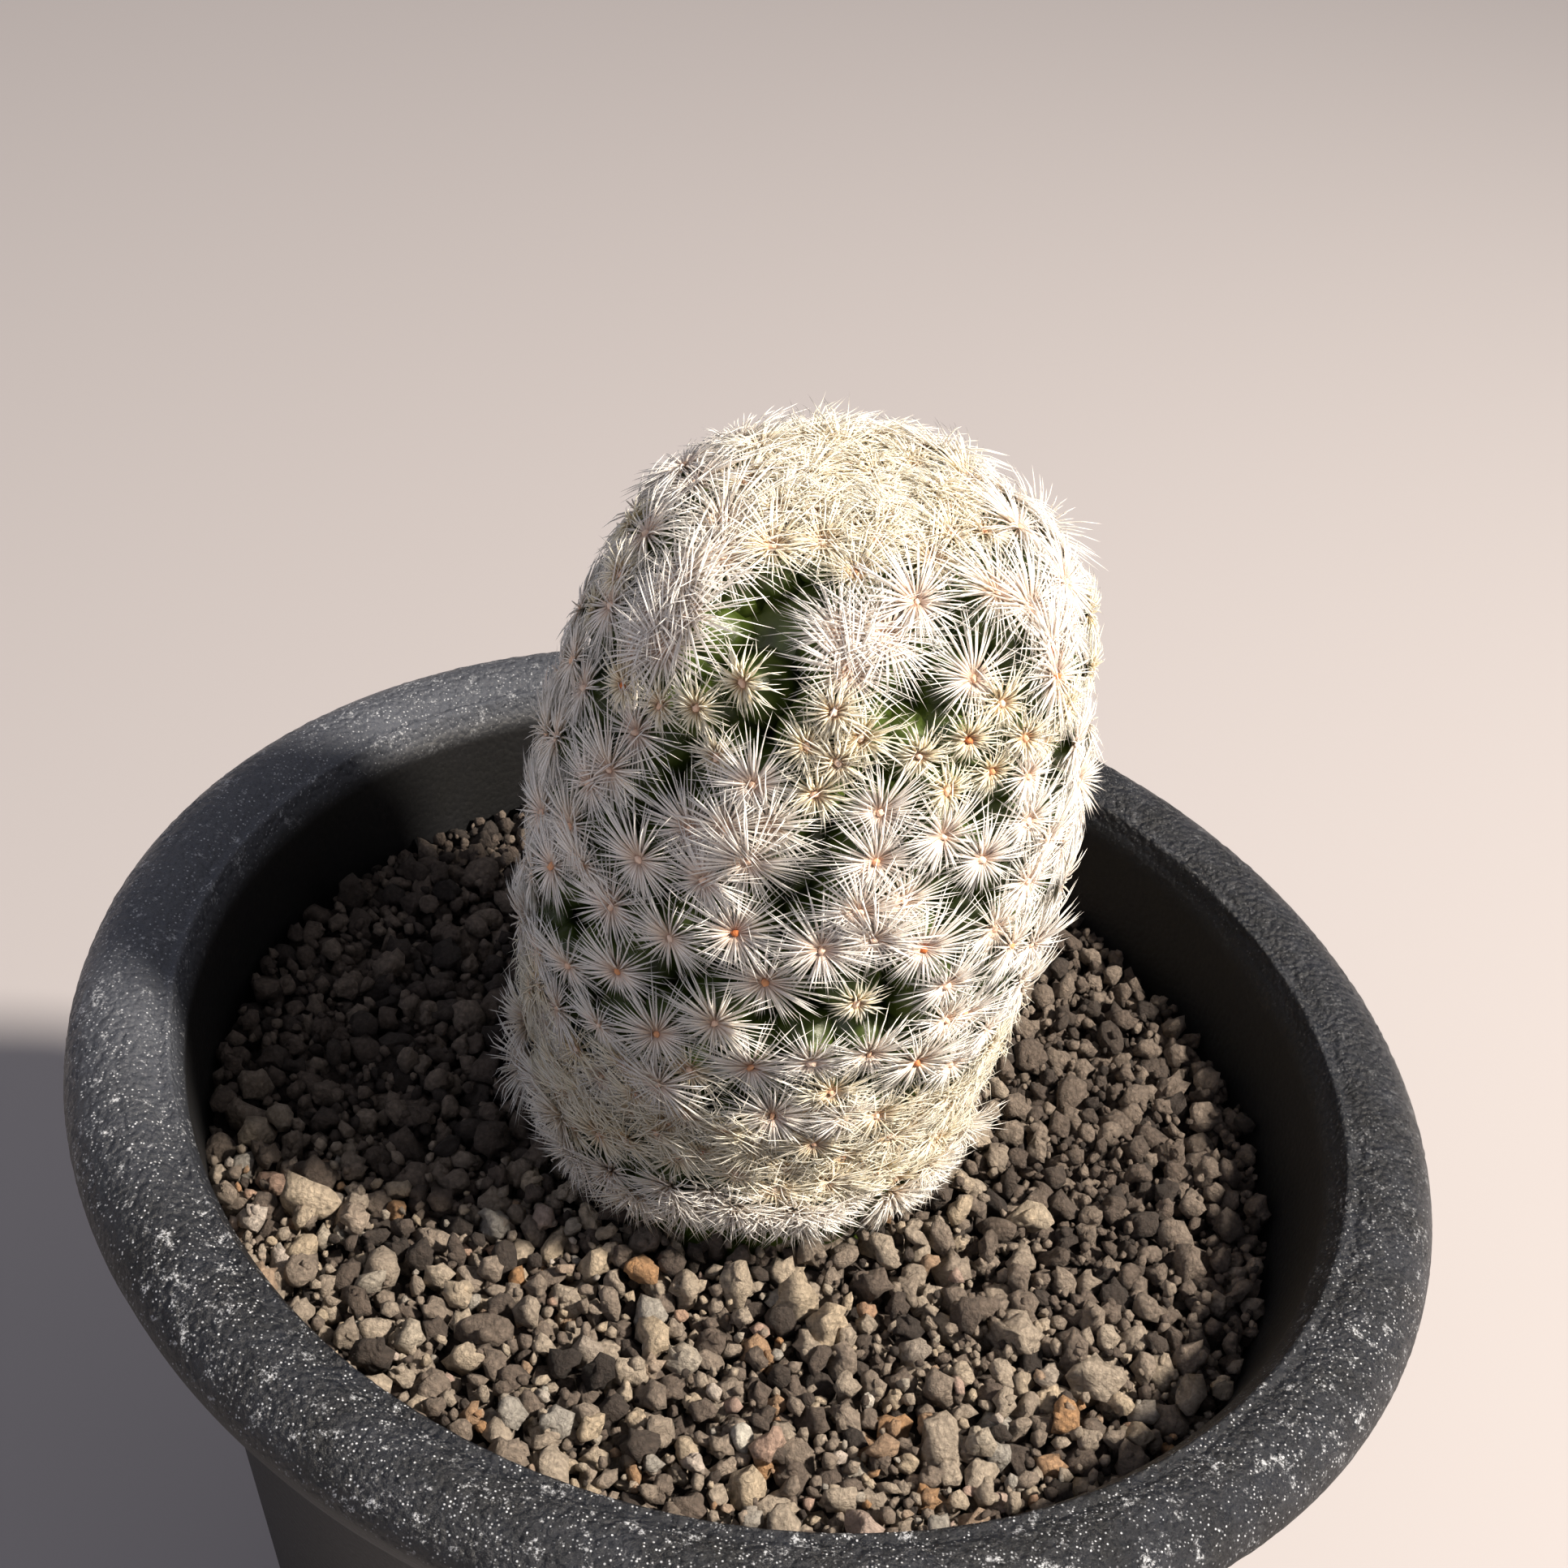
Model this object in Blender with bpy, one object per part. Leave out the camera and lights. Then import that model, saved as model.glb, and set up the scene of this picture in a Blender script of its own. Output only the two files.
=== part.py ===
"""A small mammillaria standing in a filled round pot with a broad lip.

Units are metres and +Z is up. The origin is the centre of the pot's foot.
"""
import math

import bmesh
import bpy
import numpy as np
from mathutils import Matrix, Vector
from mathutils.geometry import delaunay_2d_cdt

MM = 0.001
SEED = 7
GAP = 0.4 * MM

# Pot, from the crest of its lip down
POT_HEIGHT = 80.0 * MM
LIP_RADIUS = 47.5 * MM
LIP_CREST_RADIUS = 43.6 * MM
LIP_CREST_RISE = 0.62 * MM
LIP_EDGE_DROP = 3.0 * MM
LIP_DEPTH = 6.3 * MM
LIP_SKIRT_INSET = 1.5 * MM
RIDGE_RADIUS = 40.85 * MM
CHAMFER = 1.1 * MM
BODY_RADIUS_AT_RIDGE = 42.6 * MM
BODY_TAPER = 0.197
WALL = 2.4 * MM
FOOT_WIDTH = 3.0 * MM
FOOT_RECESS = 1.5 * MM
FLOOR = 2.0 * MM
MIDDLE_HOLE_RADIUS = 4.0 * MM
SIDE_HOLE_RADIUS = 3.0 * MM
SIDE_HOLE_CIRCLE = 15.0 * MM
SIDE_HOLES = 6
POT_SEGMENTS = 64
RIDGE_HEIGHT = POT_HEIGHT - LIP_CREST_RISE
POT_AXIS = Vector((0.0, 0.0, 0.0))

# Potting mix
SOIL_DEPTH_BELOW_RIDGE = 9.3 * MM
SOIL_HEIGHT = RIDGE_HEIGHT - SOIL_DEPTH_BELOW_RIDGE
GRAIN_SPACING = 3.35 * MM
GRAIN_TRIES = 9000
GRAIN_TOP_SHARE = 0.62
GRAIN_PIT = 1.0 * MM
GRAIN_RISE = (0.0, 0.8 * MM)
GRAIN_CROWN = 0.25 * MM
GRAIN_TILT = 0.12
SOIL_SWELL = 0.4 * MM
HOLE_GUARDS = 26
EDGE_GUARDS = 68

# Cactus: heights are above the mix, radii are those of the circle through the spine clusters
STEM_PLACE = Vector((-1.5 * MM, 0.4 * MM, 0.0))
STEM_OUTLINE = [
    (13.9 * MM, 0.0 * MM),
    (15.1 * MM, 6.0 * MM),
    (15.2 * MM, 12.0 * MM),
    (16.1 * MM, 18.0 * MM),
    (16.2 * MM, 24.0 * MM),
    (16.1 * MM, 30.0 * MM),
    (15.6 * MM, 36.0 * MM),
    (14.7 * MM, 42.0 * MM),
    (12.3 * MM, 47.0 * MM),
    (7.6 * MM, 50.6 * MM),
    (0.0 * MM, 51.9 * MM),
]
STEM_LEAN = 1.1 * MM
LEAN_FROM = 20.0 * MM
LEAN_OVER = 30.0 * MM
STEM_BASE_RADIUS = 13.0 * MM
STEM_SUNK = 8.0 * MM
LOWEST_CLUSTER = 4.2 * MM
GUARD_HEIGHT = 0.6 * MM
GUARD_COUNT = 20
CROWN_REACH = 14.0 * MM
CLUSTER_SPACING = (1.9 * MM, 4.9 * MM)
TUBERCLE_DEPTH = 0.68
BASE_TUBERCLE_DEPTH = 0.9 * MM
BASE_REACH = 12.0 * MM
SPINES_PER_CLUSTER = 8
SPINE_LENGTH = 5.3 * MM
SPINE_PER_SPACING = 1.15
SPINE_RISE = (math.radians(48), math.radians(21))
SPINE_TURNS = [math.radians(turn) for turn in (0, 5, -5, 10, -10, 15, -15, 20, -20)]
SPINE_LIFTS = [math.radians(lift) for lift in (0, 5, -5, 10, 16, 22)]
SPINE_THICK = 0.26 * MM
SPINE_ROOM = 0.12 * MM
SPINE_SCATTER = 0.07
HUB_PER_SPACING = 0.115
HUB_RISE_PER_SPACING = 0.06
SPINE_CLEAR_OF_SOIL = GRAIN_RISE[1] + GRAIN_CROWN + SOIL_SWELL + GAP
GOLDEN_ANGLE = math.pi * (3.0 - math.sqrt(5.0))


def clear_scene():
    for obj in list(bpy.data.objects):
        bpy.data.objects.remove(obj, do_unlink=True)


def make_material(name, colour, roughness):
    material = bpy.data.materials.new(name)
    material.use_nodes = True
    shader = material.node_tree.nodes["Principled BSDF"]
    shader.inputs["Base Color"].default_value = (*colour, 1.0)
    shader.inputs["Roughness"].default_value = roughness
    shader.inputs["Metallic"].default_value = 0.0
    return material


def make_object(name, bm, material):
    """Turns a bmesh into an object with its faces pointing out."""
    bmesh.ops.recalc_face_normals(bm, faces=bm.faces)
    mesh = bpy.data.meshes.new(name)
    bm.to_mesh(mesh)
    bm.free()
    mesh.materials.append(material)
    obj = bpy.data.objects.new(name, mesh)
    bpy.context.scene.collection.objects.link(obj)
    return obj


def smoothstep(x):
    x = min(max(x, 0.0), 1.0)
    return x * x * (3.0 - 2.0 * x)


def blend(pair, share):
    return pair[0] + (pair[1] - pair[0]) * share


# Pot

def body_radius(z):
    """Radius of the pot's tapering outer wall at a height."""
    return BODY_RADIUS_AT_RIDGE + BODY_TAPER * (z - RIDGE_HEIGHT)


def pot_outline():
    """Outline of the pot from its inner ridge over the lip, down to the foot and back up inside."""
    crest = [
        (RIDGE_RADIUS + (LIP_CREST_RADIUS - RIDGE_RADIUS) * t, RIDGE_HEIGHT + LIP_CREST_RISE * t * (2 - t))
        for t in (0.0, 0.5)
    ]
    reach = LIP_RADIUS - LIP_CREST_RADIUS
    edge = [
        (LIP_CREST_RADIUS + reach * math.sin(a), POT_HEIGHT - LIP_EDGE_DROP * (1 - math.cos(a)))
        for a in (math.radians(18 * step) for step in range(6))
    ]
    skirt_z = POT_HEIGHT - LIP_DEPTH
    skirt = [
        (LIP_RADIUS - LIP_SKIRT_INSET, skirt_z),
        (body_radius(skirt_z) + 0.8 * MM, skirt_z - 0.2 * MM),
        (body_radius(skirt_z - 1.0 * MM), skirt_z - 1.0 * MM),
    ]
    foot_outer = body_radius(0.0)
    foot = [
        (body_radius(0.8 * MM), 0.8 * MM),
        (foot_outer - 0.8 * MM, 0.0),
        (foot_outer - FOOT_WIDTH, 0.0),
        (foot_outer - FOOT_WIDTH - 0.5 * MM, FOOT_RECESS),
        (MIDDLE_HOLE_RADIUS, FOOT_RECESS),
        (MIDDLE_HOLE_RADIUS, FOOT_RECESS + FLOOR),
    ]
    floor_z = FOOT_RECESS + FLOOR
    inner_top_z = RIDGE_HEIGHT - CHAMFER
    inside = [
        (body_radius(floor_z) - WALL - 1.0 * MM, floor_z),
        (body_radius(floor_z + 1.0 * MM) - WALL, floor_z + 1.0 * MM),
        (body_radius(inner_top_z) - WALL, inner_top_z),
    ]
    return crest + edge + skirt + foot + inside


def add_drain_hole_cutter():
    bm = bmesh.new()
    for index in range(SIDE_HOLES):
        angle = 2.0 * math.pi * index / SIDE_HOLES
        place = Vector((math.cos(angle), math.sin(angle), 0.0)) * SIDE_HOLE_CIRCLE
        place.z = FOOT_RECESS + 0.5 * FLOOR
        bmesh.ops.create_cone(
            bm,
            cap_ends=True,
            segments=16,
            radius1=SIDE_HOLE_RADIUS,
            radius2=SIDE_HOLE_RADIUS,
            depth=3.0 * FLOOR,
            matrix=Matrix.Translation(place),
        )
    cutter = make_object("drain_hole_cutter", bm, make_material("cutter", (0.5, 0.5, 0.5), 0.5))
    cutter.hide_render = True
    cutter.display_type = "WIRE"
    return cutter


def add_pot(material):
    bm = bmesh.new()
    outline = [bm.verts.new((r, 0.0, z)) for r, z in pot_outline()]
    edges = [bm.edges.new((a, b)) for a, b in zip(outline, outline[1:] + outline[:1])]
    bmesh.ops.spin(
        bm,
        geom=outline + edges,
        cent=(0.0, 0.0, 0.0),
        axis=(0.0, 0.0, 1.0),
        angle=2.0 * math.pi,
        steps=POT_SEGMENTS,
        use_merge=True,
    )
    bmesh.ops.remove_doubles(bm, verts=bm.verts, dist=0.01 * MM)
    pot = make_object("pot", bm, material)
    pot.data.shade_smooth()
    pot.data.set_sharp_from_angle(angle=math.radians(32))
    drain = pot.modifiers.new("drain holes", "BOOLEAN")
    drain.operation = "DIFFERENCE"
    drain.object = add_drain_hole_cutter()
    drain.solver = "EXACT"
    return pot


# Cells shared by the grains and the tubercles

def cells_around(flat_points, guard_points):
    """Triangles between neighbouring points, and for each point the triangles round it in order.

    The guard points close the pattern's rim and get no cell of their own.
    """
    merged = [Vector(p) for p in flat_points + guard_points]
    _, _, faces, sources, _, _ = delaunay_2d_cdt(merged, [], [], 0, 1e-12)
    triangles = [tuple(sources[i][0] for i in face) for face in faces]
    rings = []
    for index, point in enumerate(flat_points):
        touching = [t for t, triangle in enumerate(triangles) if index in triangle]
        middles = {t: sum((merged[i] for i in triangles[t]), Vector((0, 0))) / 3.0 for t in touching}
        angles = {t: math.atan2(m.y - point[1], m.x - point[0]) for t, m in middles.items()}
        rings.append(sorted(touching, key=angles.get))
    return triangles, rings


def rim_loops(bm):
    """Open edges of a sheet, as the outer rim and the inner rim round the axis."""
    rim = [edge for edge in bm.edges if edge.is_boundary]
    radii = [sum(v.co.xy.length for v in edge.verts) / 2.0 for edge in rim]
    middle = (min(radii) + max(radii)) / 2.0
    outer = [edge for edge, radius in zip(rim, radii) if radius >= middle]
    inner = [edge for edge, radius in zip(rim, radii) if radius < middle]
    return outer, inner


def rim_verts(rim):
    return {vert for edge in rim for vert in edge.verts}


def draw_to_circle(verts, axis, radius):
    """Moves points level, onto a circle round an upright axis."""
    for vert in verts:
        ring = axis.xy + (vert.co.xy - axis.xy).normalized() * radius
        vert.co = (ring.x, ring.y, vert.co.z)


def drop_rim(bm, rim, axis, radius, height):
    """Draws a rim down to a level circle and caps it there."""
    grown = bmesh.ops.extrude_edge_only(bm, edges=rim)["geom"]
    new_verts = [item for item in grown if isinstance(item, bmesh.types.BMVert)]
    draw_to_circle(new_verts, axis, radius)
    for vert in new_verts:
        vert.co.z = height
    new_edges = [item for item in grown if isinstance(item, bmesh.types.BMEdge)]
    bmesh.ops.holes_fill(bm, edges=[edge for edge in new_edges if edge.is_boundary])


# Potting mix

def grain_places(rng, inner, outer):
    """Loosely packed grain centres from the stem's hole to the pot's wall."""
    places = []
    for _ in range(GRAIN_TRIES):
        radius = math.sqrt(rng.uniform(0.0, outer * outer))
        angle = rng.uniform(0.0, 2.0 * math.pi)
        place = Vector((radius * math.cos(angle), radius * math.sin(angle)))
        if (place - STEM_PLACE.xy).length < inner:
            continue
        if all((place - other).length > GRAIN_SPACING for other in places):
            places.append(place)
    return places


def guard_circle(axis, radius, count):
    angles = [2.0 * math.pi * index / count for index in range(count)]
    return [axis.xy + Vector((math.cos(a), math.sin(a))) * radius for a in angles]


def soil_level(place):
    """The mix lies a little unevenly in its pot."""
    wave = math.sin(place.x / (14.0 * MM) + 1.0) * math.cos(place.y / (17.0 * MM) - 0.6)
    return SOIL_HEIGHT + SOIL_SWELL * wave


def add_soil(material):
    """The mix down to the pot's floor, with its grains on top and a plain hole for the stem."""
    rng = np.random.default_rng(SEED)
    hole_radius = STEM_BASE_RADIUS + GAP
    edge_radius = body_radius(SOIL_HEIGHT) - WALL - GAP
    half = 0.5 * GRAIN_SPACING
    places = grain_places(rng, hole_radius + half, edge_radius - half)
    guards = guard_circle(STEM_PLACE, hole_radius - half, HOLE_GUARDS)
    guards += guard_circle(POT_AXIS, edge_radius + half, EDGE_GUARDS)
    triangles, rings = cells_around(places, guards)
    corners = places + guards
    bm = bmesh.new()
    pits = []
    for triangle in triangles:
        middle = sum((corners[i] for i in triangle), Vector((0, 0))) / 3.0
        pits.append(bm.verts.new((middle.x, middle.y, soil_level(middle) - GRAIN_PIT)))
    for place, ring in zip(places, rings):
        add_grain(bm, rng, place, [pits[t] for t in ring])
    bmesh.ops.delete(bm, geom=[v for v in bm.verts if not v.link_faces], context="VERTS")
    outer, inner = rim_loops(bm)
    draw_to_circle(rim_verts(outer), POT_AXIS, edge_radius)
    draw_to_circle(rim_verts(inner), STEM_PLACE, hole_radius)
    bottom = FOOT_RECESS + FLOOR + GAP
    drop_rim(bm, outer, POT_AXIS, body_radius(bottom) - WALL - 1.0 * MM - GAP, bottom)
    drop_rim(bm, inner, STEM_PLACE, hole_radius, SOIL_HEIGHT - STEM_SUNK - GAP)
    return make_object("soil", bm, material)


def add_grain(bm, rng, place, ring):
    """One blunt grain whose skirt reaches the pits it shares with its neighbours."""
    rise = rng.uniform(*GRAIN_RISE)
    lean = Vector(rng.uniform(-GRAIN_TILT, GRAIN_TILT, 2).tolist())
    base = soil_level(place) + rise
    shoulder = []
    for pit in ring:
        reach = (pit.co.xy - place) * GRAIN_TOP_SHARE
        top = place + reach
        shoulder.append(bm.verts.new((top.x, top.y, base + lean.dot(reach))))
    crown = bm.verts.new((place.x, place.y, base + GRAIN_CROWN))
    for index, pit in enumerate(ring):
        after = (index + 1) % len(ring)
        bm.faces.new((crown, shoulder[index], shoulder[after]))
        bm.faces.new((shoulder[index], pit, shoulder[after]))
        bm.faces.new((pit, ring[after], shoulder[after]))


# Cactus

def smooth_outline(points, steps=10):
    """A smooth curve through the outline's points, from the crown down."""
    ends = [(-points[-2][0], points[-2][1])]
    knots = [np.array(p) for p in ends + points[::-1] + [points[0]]]
    curve = []
    for a, b, c, d in zip(knots, knots[1:], knots[2:], knots[3:]):
        for t in np.linspace(0.0, 1.0, steps, endpoint=False):
            bend = 2 * b + (c - a) * t + (2 * a - 5 * b + 4 * c - d) * t**2 + (3 * b - a - 3 * c + d) * t**3
            curve.append(0.5 * bend)
    curve.append(knots[-2])
    return np.array(curve)


class StemSurface:
    """The round surface through the spine clusters, measured along its outline from the crown."""

    def __init__(self):
        curve = smooth_outline(STEM_OUTLINE)
        self.radius = np.maximum(curve[:, 0], 1e-6)
        self.height = curve[:, 1]
        step = np.hypot(np.diff(self.radius), np.diff(self.height))
        self.along = np.concatenate([[0.0], np.cumsum(step)])
        middle = 0.5 * (self.radius[1:] + self.radius[:-1])
        spacing = np.array([self.spacing(s) for s in 0.5 * (self.along[1:] + self.along[:-1])])
        per_step = 2.0 * math.pi * middle * step / (0.866 * spacing**2)
        self.count = np.concatenate([[0.0], np.cumsum(per_step)])
        self.spread = np.concatenate([[0.0], np.cumsum(step / middle)])

    def spacing(self, along):
        return blend(CLUSTER_SPACING, smoothstep(along / CROWN_REACH))

    def point(self, along, angle):
        radius = np.interp(along, self.along, self.radius)
        height = np.interp(along, self.along, self.height)
        lean = STEM_LEAN * smoothstep((height - LEAN_FROM) / LEAN_OVER)
        return Vector((lean + radius * math.cos(angle), radius * math.sin(angle), SOIL_HEIGHT + height))

    def normal(self, along, angle):
        reach = 0.4 * MM
        above = max(along - reach, 0.0)
        below = min(along + reach, self.along[-1])
        run = np.interp(below, self.along, self.radius) - np.interp(above, self.along, self.radius)
        fall = np.interp(above, self.along, self.height) - np.interp(below, self.along, self.height)
        return Vector((fall * math.cos(angle), fall * math.sin(angle), run)).normalized()

    def flat(self, along, angle):
        """A map of the surface on a plane that keeps its angles, to find neighbours."""
        size = math.exp(np.interp(along, self.along, self.spread))
        return (size * math.cos(angle), size * math.sin(angle))

    def at_height(self, height):
        return float(np.interp(-height, -self.height, self.along))


def cluster_places(surface):
    """Spine clusters on one spiral, each a golden angle on from the last, closer at the crown."""
    lowest = np.interp(surface.at_height(LOWEST_CLUSTER), surface.along, surface.count)
    places = []
    for index in range(int(lowest)):
        along = float(np.interp(index + 0.5, surface.count, surface.along))
        places.append((along, index * GOLDEN_ANGLE))
    return places


def tubercle_depth(surface, along):
    """Valleys are as deep as the tubercles are wide, and flatten out on the old base."""
    full = TUBERCLE_DEPTH * surface.spacing(along)
    above_base = surface.at_height(0.0) - along
    return blend((BASE_TUBERCLE_DEPTH, full), smoothstep(above_base / BASE_REACH))


class GrownSpines:
    """The spines so far, to find how much room a further one has among them."""

    def __init__(self):
        self.starts = np.empty((0, 3))
        self.reaches = np.empty((0, 3))

    def add(self, start, reaches):
        self.starts = np.vstack([self.starts, np.tile(start, (len(reaches), 1))])
        self.reaches = np.vstack([self.reaches, np.array(reaches)])

    def room(self, start, reach):
        """Least gap to another spine, less the two thicknesses where they pass."""
        if not len(self.starts):
            return 1.0
        start = np.array(start)
        reach = np.array(reach)
        apart = start - self.starts
        own = reach @ reach
        other = np.sum(self.reaches**2, axis=1)
        both = self.reaches @ reach
        lead = apart @ reach
        lag = np.sum(self.reaches * apart, axis=1)
        share = np.clip((both * lag - lead * other) / np.maximum(own * other - both**2, 1e-18), 0.0, 1.0)
        other_share = np.clip((both * share + lag) / other, 0.0, 1.0)
        share = np.clip((both * other_share - lead) / own, 0.0, 1.0)
        gap = apart + share[:, None] * reach - other_share[:, None] * self.reaches
        thickness = SPINE_THICK * ((1.0 - share) + (1.0 - other_share))
        return float(np.min(np.linalg.norm(gap, axis=1) - thickness))


def grow_spine(grown, tip, normal, towards, rise, length):
    """Turns and lifts a spine until it passes clear of its neighbours'."""
    best = None
    for lift in SPINE_LIFTS:
        for turn in SPINE_TURNS:
            across = Matrix.Rotation(turn, 3, normal) @ towards
            reach = (across * math.cos(rise + lift) + normal * math.sin(rise + lift)) * length
            lowest = SOIL_HEIGHT + SPINE_CLEAR_OF_SOIL
            if tip.z + reach.z < lowest:
                reach *= (lowest - tip.z) / reach.z
            room = grown.room(tip, reach)
            if best is None or room > best[0]:
                best = (room, reach)
            if room > SPINE_ROOM:
                return reach
    return best[1]


def add_tubercle_sides(bm, notches, ring, pit_angles):
    """Closes a tubercle between the notches round its tip and the pits round its foot."""
    steps = [(2.0 * math.pi * index / len(notches), "notch", index) for index in range(len(notches))]
    for index, angle in enumerate(pit_angles):
        before = pit_angles[index - 1] - (2.0 * math.pi if index == 0 else 0.0)
        steps.append(((0.5 * (before + angle)) % (2.0 * math.pi), "pit", index))
    notch = notches[-1]
    pit = ring[0]
    for _, kind, index in sorted(steps):
        if kind == "notch":
            bm.faces.new((notches[index], notch, pit))
            notch = notches[index]
        else:
            bm.faces.new((notch, pit, ring[index]))
            pit = ring[index]


def add_cluster(bm, rng, surface, grown, along, angle, ring):
    """One tubercle and the star of spines that grows round its tip."""
    spacing = surface.spacing(along)
    tip = surface.point(along, angle)
    normal = surface.normal(along, angle)
    first = ring[0].co - tip
    first = (first - normal * first.dot(normal)).normalized()
    second = normal.cross(first)
    offsets = [pit.co - tip for pit in ring]
    pit_angles = [math.atan2(o.dot(second), o.dot(first)) % (2.0 * math.pi) for o in offsets]
    pit_angles[0] = 0.0

    hub = bm.verts.new(tip + normal * HUB_RISE_PER_SPACING * spacing)
    notches = []
    for index in range(SPINES_PER_CLUSTER):
        turn = Matrix.Rotation(2.0 * math.pi * (index + 0.5) / SPINES_PER_CLUSTER, 3, normal)
        notches.append(bm.verts.new(tip + turn @ first * HUB_PER_SPACING * spacing))
    add_tubercle_sides(bm, notches, ring, pit_angles)

    rise = blend(SPINE_RISE, smoothstep(along / CROWN_REACH))
    full_length = min(SPINE_LENGTH, SPINE_PER_SPACING * spacing)
    reaches = []
    for index in range(SPINES_PER_CLUSTER):
        turn = Matrix.Rotation(2.0 * math.pi * index / SPINES_PER_CLUSTER, 3, normal)
        length = full_length * (1.0 + rng.uniform(-SPINE_SCATTER, SPINE_SCATTER))
        reaches.append(grow_spine(grown, tip, normal, turn @ first, rise, length))
        end = bm.verts.new(tip + reaches[-1])
        bm.faces.new((hub, notches[index - 1], end))
        bm.faces.new((hub, end, notches[index]))
        bm.faces.new((notches[index], end, notches[index - 1]))
    grown.add(tip, reaches)


def add_cactus(material):
    surface = StemSurface()
    rng = np.random.default_rng(SEED)
    places = cluster_places(surface)
    guard_along = surface.at_height(GUARD_HEIGHT)
    guards = [(guard_along, 2.0 * math.pi * index / GUARD_COUNT) for index in range(GUARD_COUNT)]
    flat_places = [surface.flat(*place) for place in places]
    flat_guards = [surface.flat(*guard) for guard in guards]
    triangles, rings = cells_around(flat_places, flat_guards)
    corners = places + guards
    bm = bmesh.new()
    pits = []
    for triangle in triangles:
        middle = sum((surface.point(*corners[i]) for i in triangle), Vector()) / 3.0
        inward = sum((surface.normal(*corners[i]) for i in triangle), Vector()).normalized()
        depth = sum(tubercle_depth(surface, corners[i][0]) for i in triangle) / 3.0
        pits.append(bm.verts.new(middle - inward * depth))
    grown = GrownSpines()
    for (along, angle), ring in zip(places, rings):
        add_cluster(bm, rng, surface, grown, along, angle, [pits[t] for t in ring])
    bmesh.ops.delete(bm, geom=[v for v in bm.verts if not v.link_faces], context="VERTS")
    rim = [edge for edge in bm.edges if edge.is_boundary]
    drop_rim(bm, rim, POT_AXIS, STEM_BASE_RADIUS, SOIL_HEIGHT - STEM_SUNK)
    return make_object("cactus", bm, material)


def main():
    clear_scene()
    add_pot(make_material("charcoal_plastic", (0.018, 0.020, 0.024), 0.42))
    add_soil(make_material("granular_mix", (0.17, 0.125, 0.085), 0.95))
    cactus = add_cactus(make_material("white_spines", (0.78, 0.74, 0.66), 0.6))
    cactus.location = STEM_PLACE


main()
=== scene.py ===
"""Looks of the potted mammillaria: pot, granular mix, green stem and white spine clusters."""
import math
from functools import partial

import bmesh
import bpy
import numpy as np
from mathutils import Matrix, Vector, noise


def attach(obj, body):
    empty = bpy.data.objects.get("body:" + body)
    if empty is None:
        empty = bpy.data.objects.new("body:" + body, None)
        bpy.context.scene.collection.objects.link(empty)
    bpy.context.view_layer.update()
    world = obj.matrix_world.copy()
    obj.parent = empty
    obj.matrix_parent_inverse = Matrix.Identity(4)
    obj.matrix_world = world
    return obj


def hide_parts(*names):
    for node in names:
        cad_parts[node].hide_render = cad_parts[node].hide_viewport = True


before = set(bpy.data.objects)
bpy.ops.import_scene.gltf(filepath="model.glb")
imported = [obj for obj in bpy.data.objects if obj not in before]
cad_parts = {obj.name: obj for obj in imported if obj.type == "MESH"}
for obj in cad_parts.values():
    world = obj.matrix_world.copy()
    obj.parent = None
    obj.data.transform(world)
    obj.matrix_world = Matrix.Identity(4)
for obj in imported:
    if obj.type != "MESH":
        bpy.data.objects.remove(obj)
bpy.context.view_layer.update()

MM = 0.001
SEED = 11
GOLDEN_ANGLE = math.pi * (3.0 - math.sqrt(5.0))

# Camera, from the photo's ellipses: 1932 px square frame, focal length 3000 px
PHOTO_PX = 1932
FOCAL_PX = 3000
CAMERA_PLACE = Vector((0.0, -125.3 * MM, 195.4 * MM))
CAMERA_YAW = math.radians(1.25)
CAMERA_PITCH = math.radians(-37.09)
CAMERA_ROLL = math.radians(11.79)
SENSOR_WIDTH = 36.0
LIGHTS_AIM = Vector((0.0, 0.0, 80.0 * MM))

# Pot sizes
POT_HEIGHT = 80.0 * MM
LIP_RADIUS = 47.5 * MM
LIP_CREST_RADIUS = 43.6 * MM
LIP_CREST_RISE = 0.62 * MM
LIP_EDGE_DROP = 3.0 * MM
LIP_DEPTH = 6.3 * MM
LIP_SKIRT_INSET = 1.5 * MM
RIDGE_RADIUS = 40.85 * MM
RIDGE_HEIGHT = POT_HEIGHT - LIP_CREST_RISE
CHAMFER = 1.1 * MM
BODY_RADIUS_AT_RIDGE = 42.6 * MM
BODY_TAPER = 0.197
WALL = 2.4 * MM
FOOT_WIDTH = 3.0 * MM
FOOT_RECESS = 1.5 * MM
FLOOR = 2.0 * MM
MIDDLE_HOLE_RADIUS = 4.0 * MM
SIDE_HOLE_RADIUS = 3.0 * MM
SIDE_HOLE_CIRCLE = 15.0 * MM
SIDE_HOLES = 6
POT_SEGMENTS = 760
LIP_GRIT = 0.34 * MM
BODY_RING_STEP = 6.0 * MM

# Mix sizes
SOIL_HEIGHT = RIDGE_HEIGHT - 9.3 * MM
GRAIN_SIZES = (0.9 * MM, 3.0 * MM)
GRAIN_COUNT = 4200
CHIP_SIZES = (0.45 * MM, 0.9 * MM)
CHIP_COUNT = 1900
ROUNDER_FROM = 1.35 * MM

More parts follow.
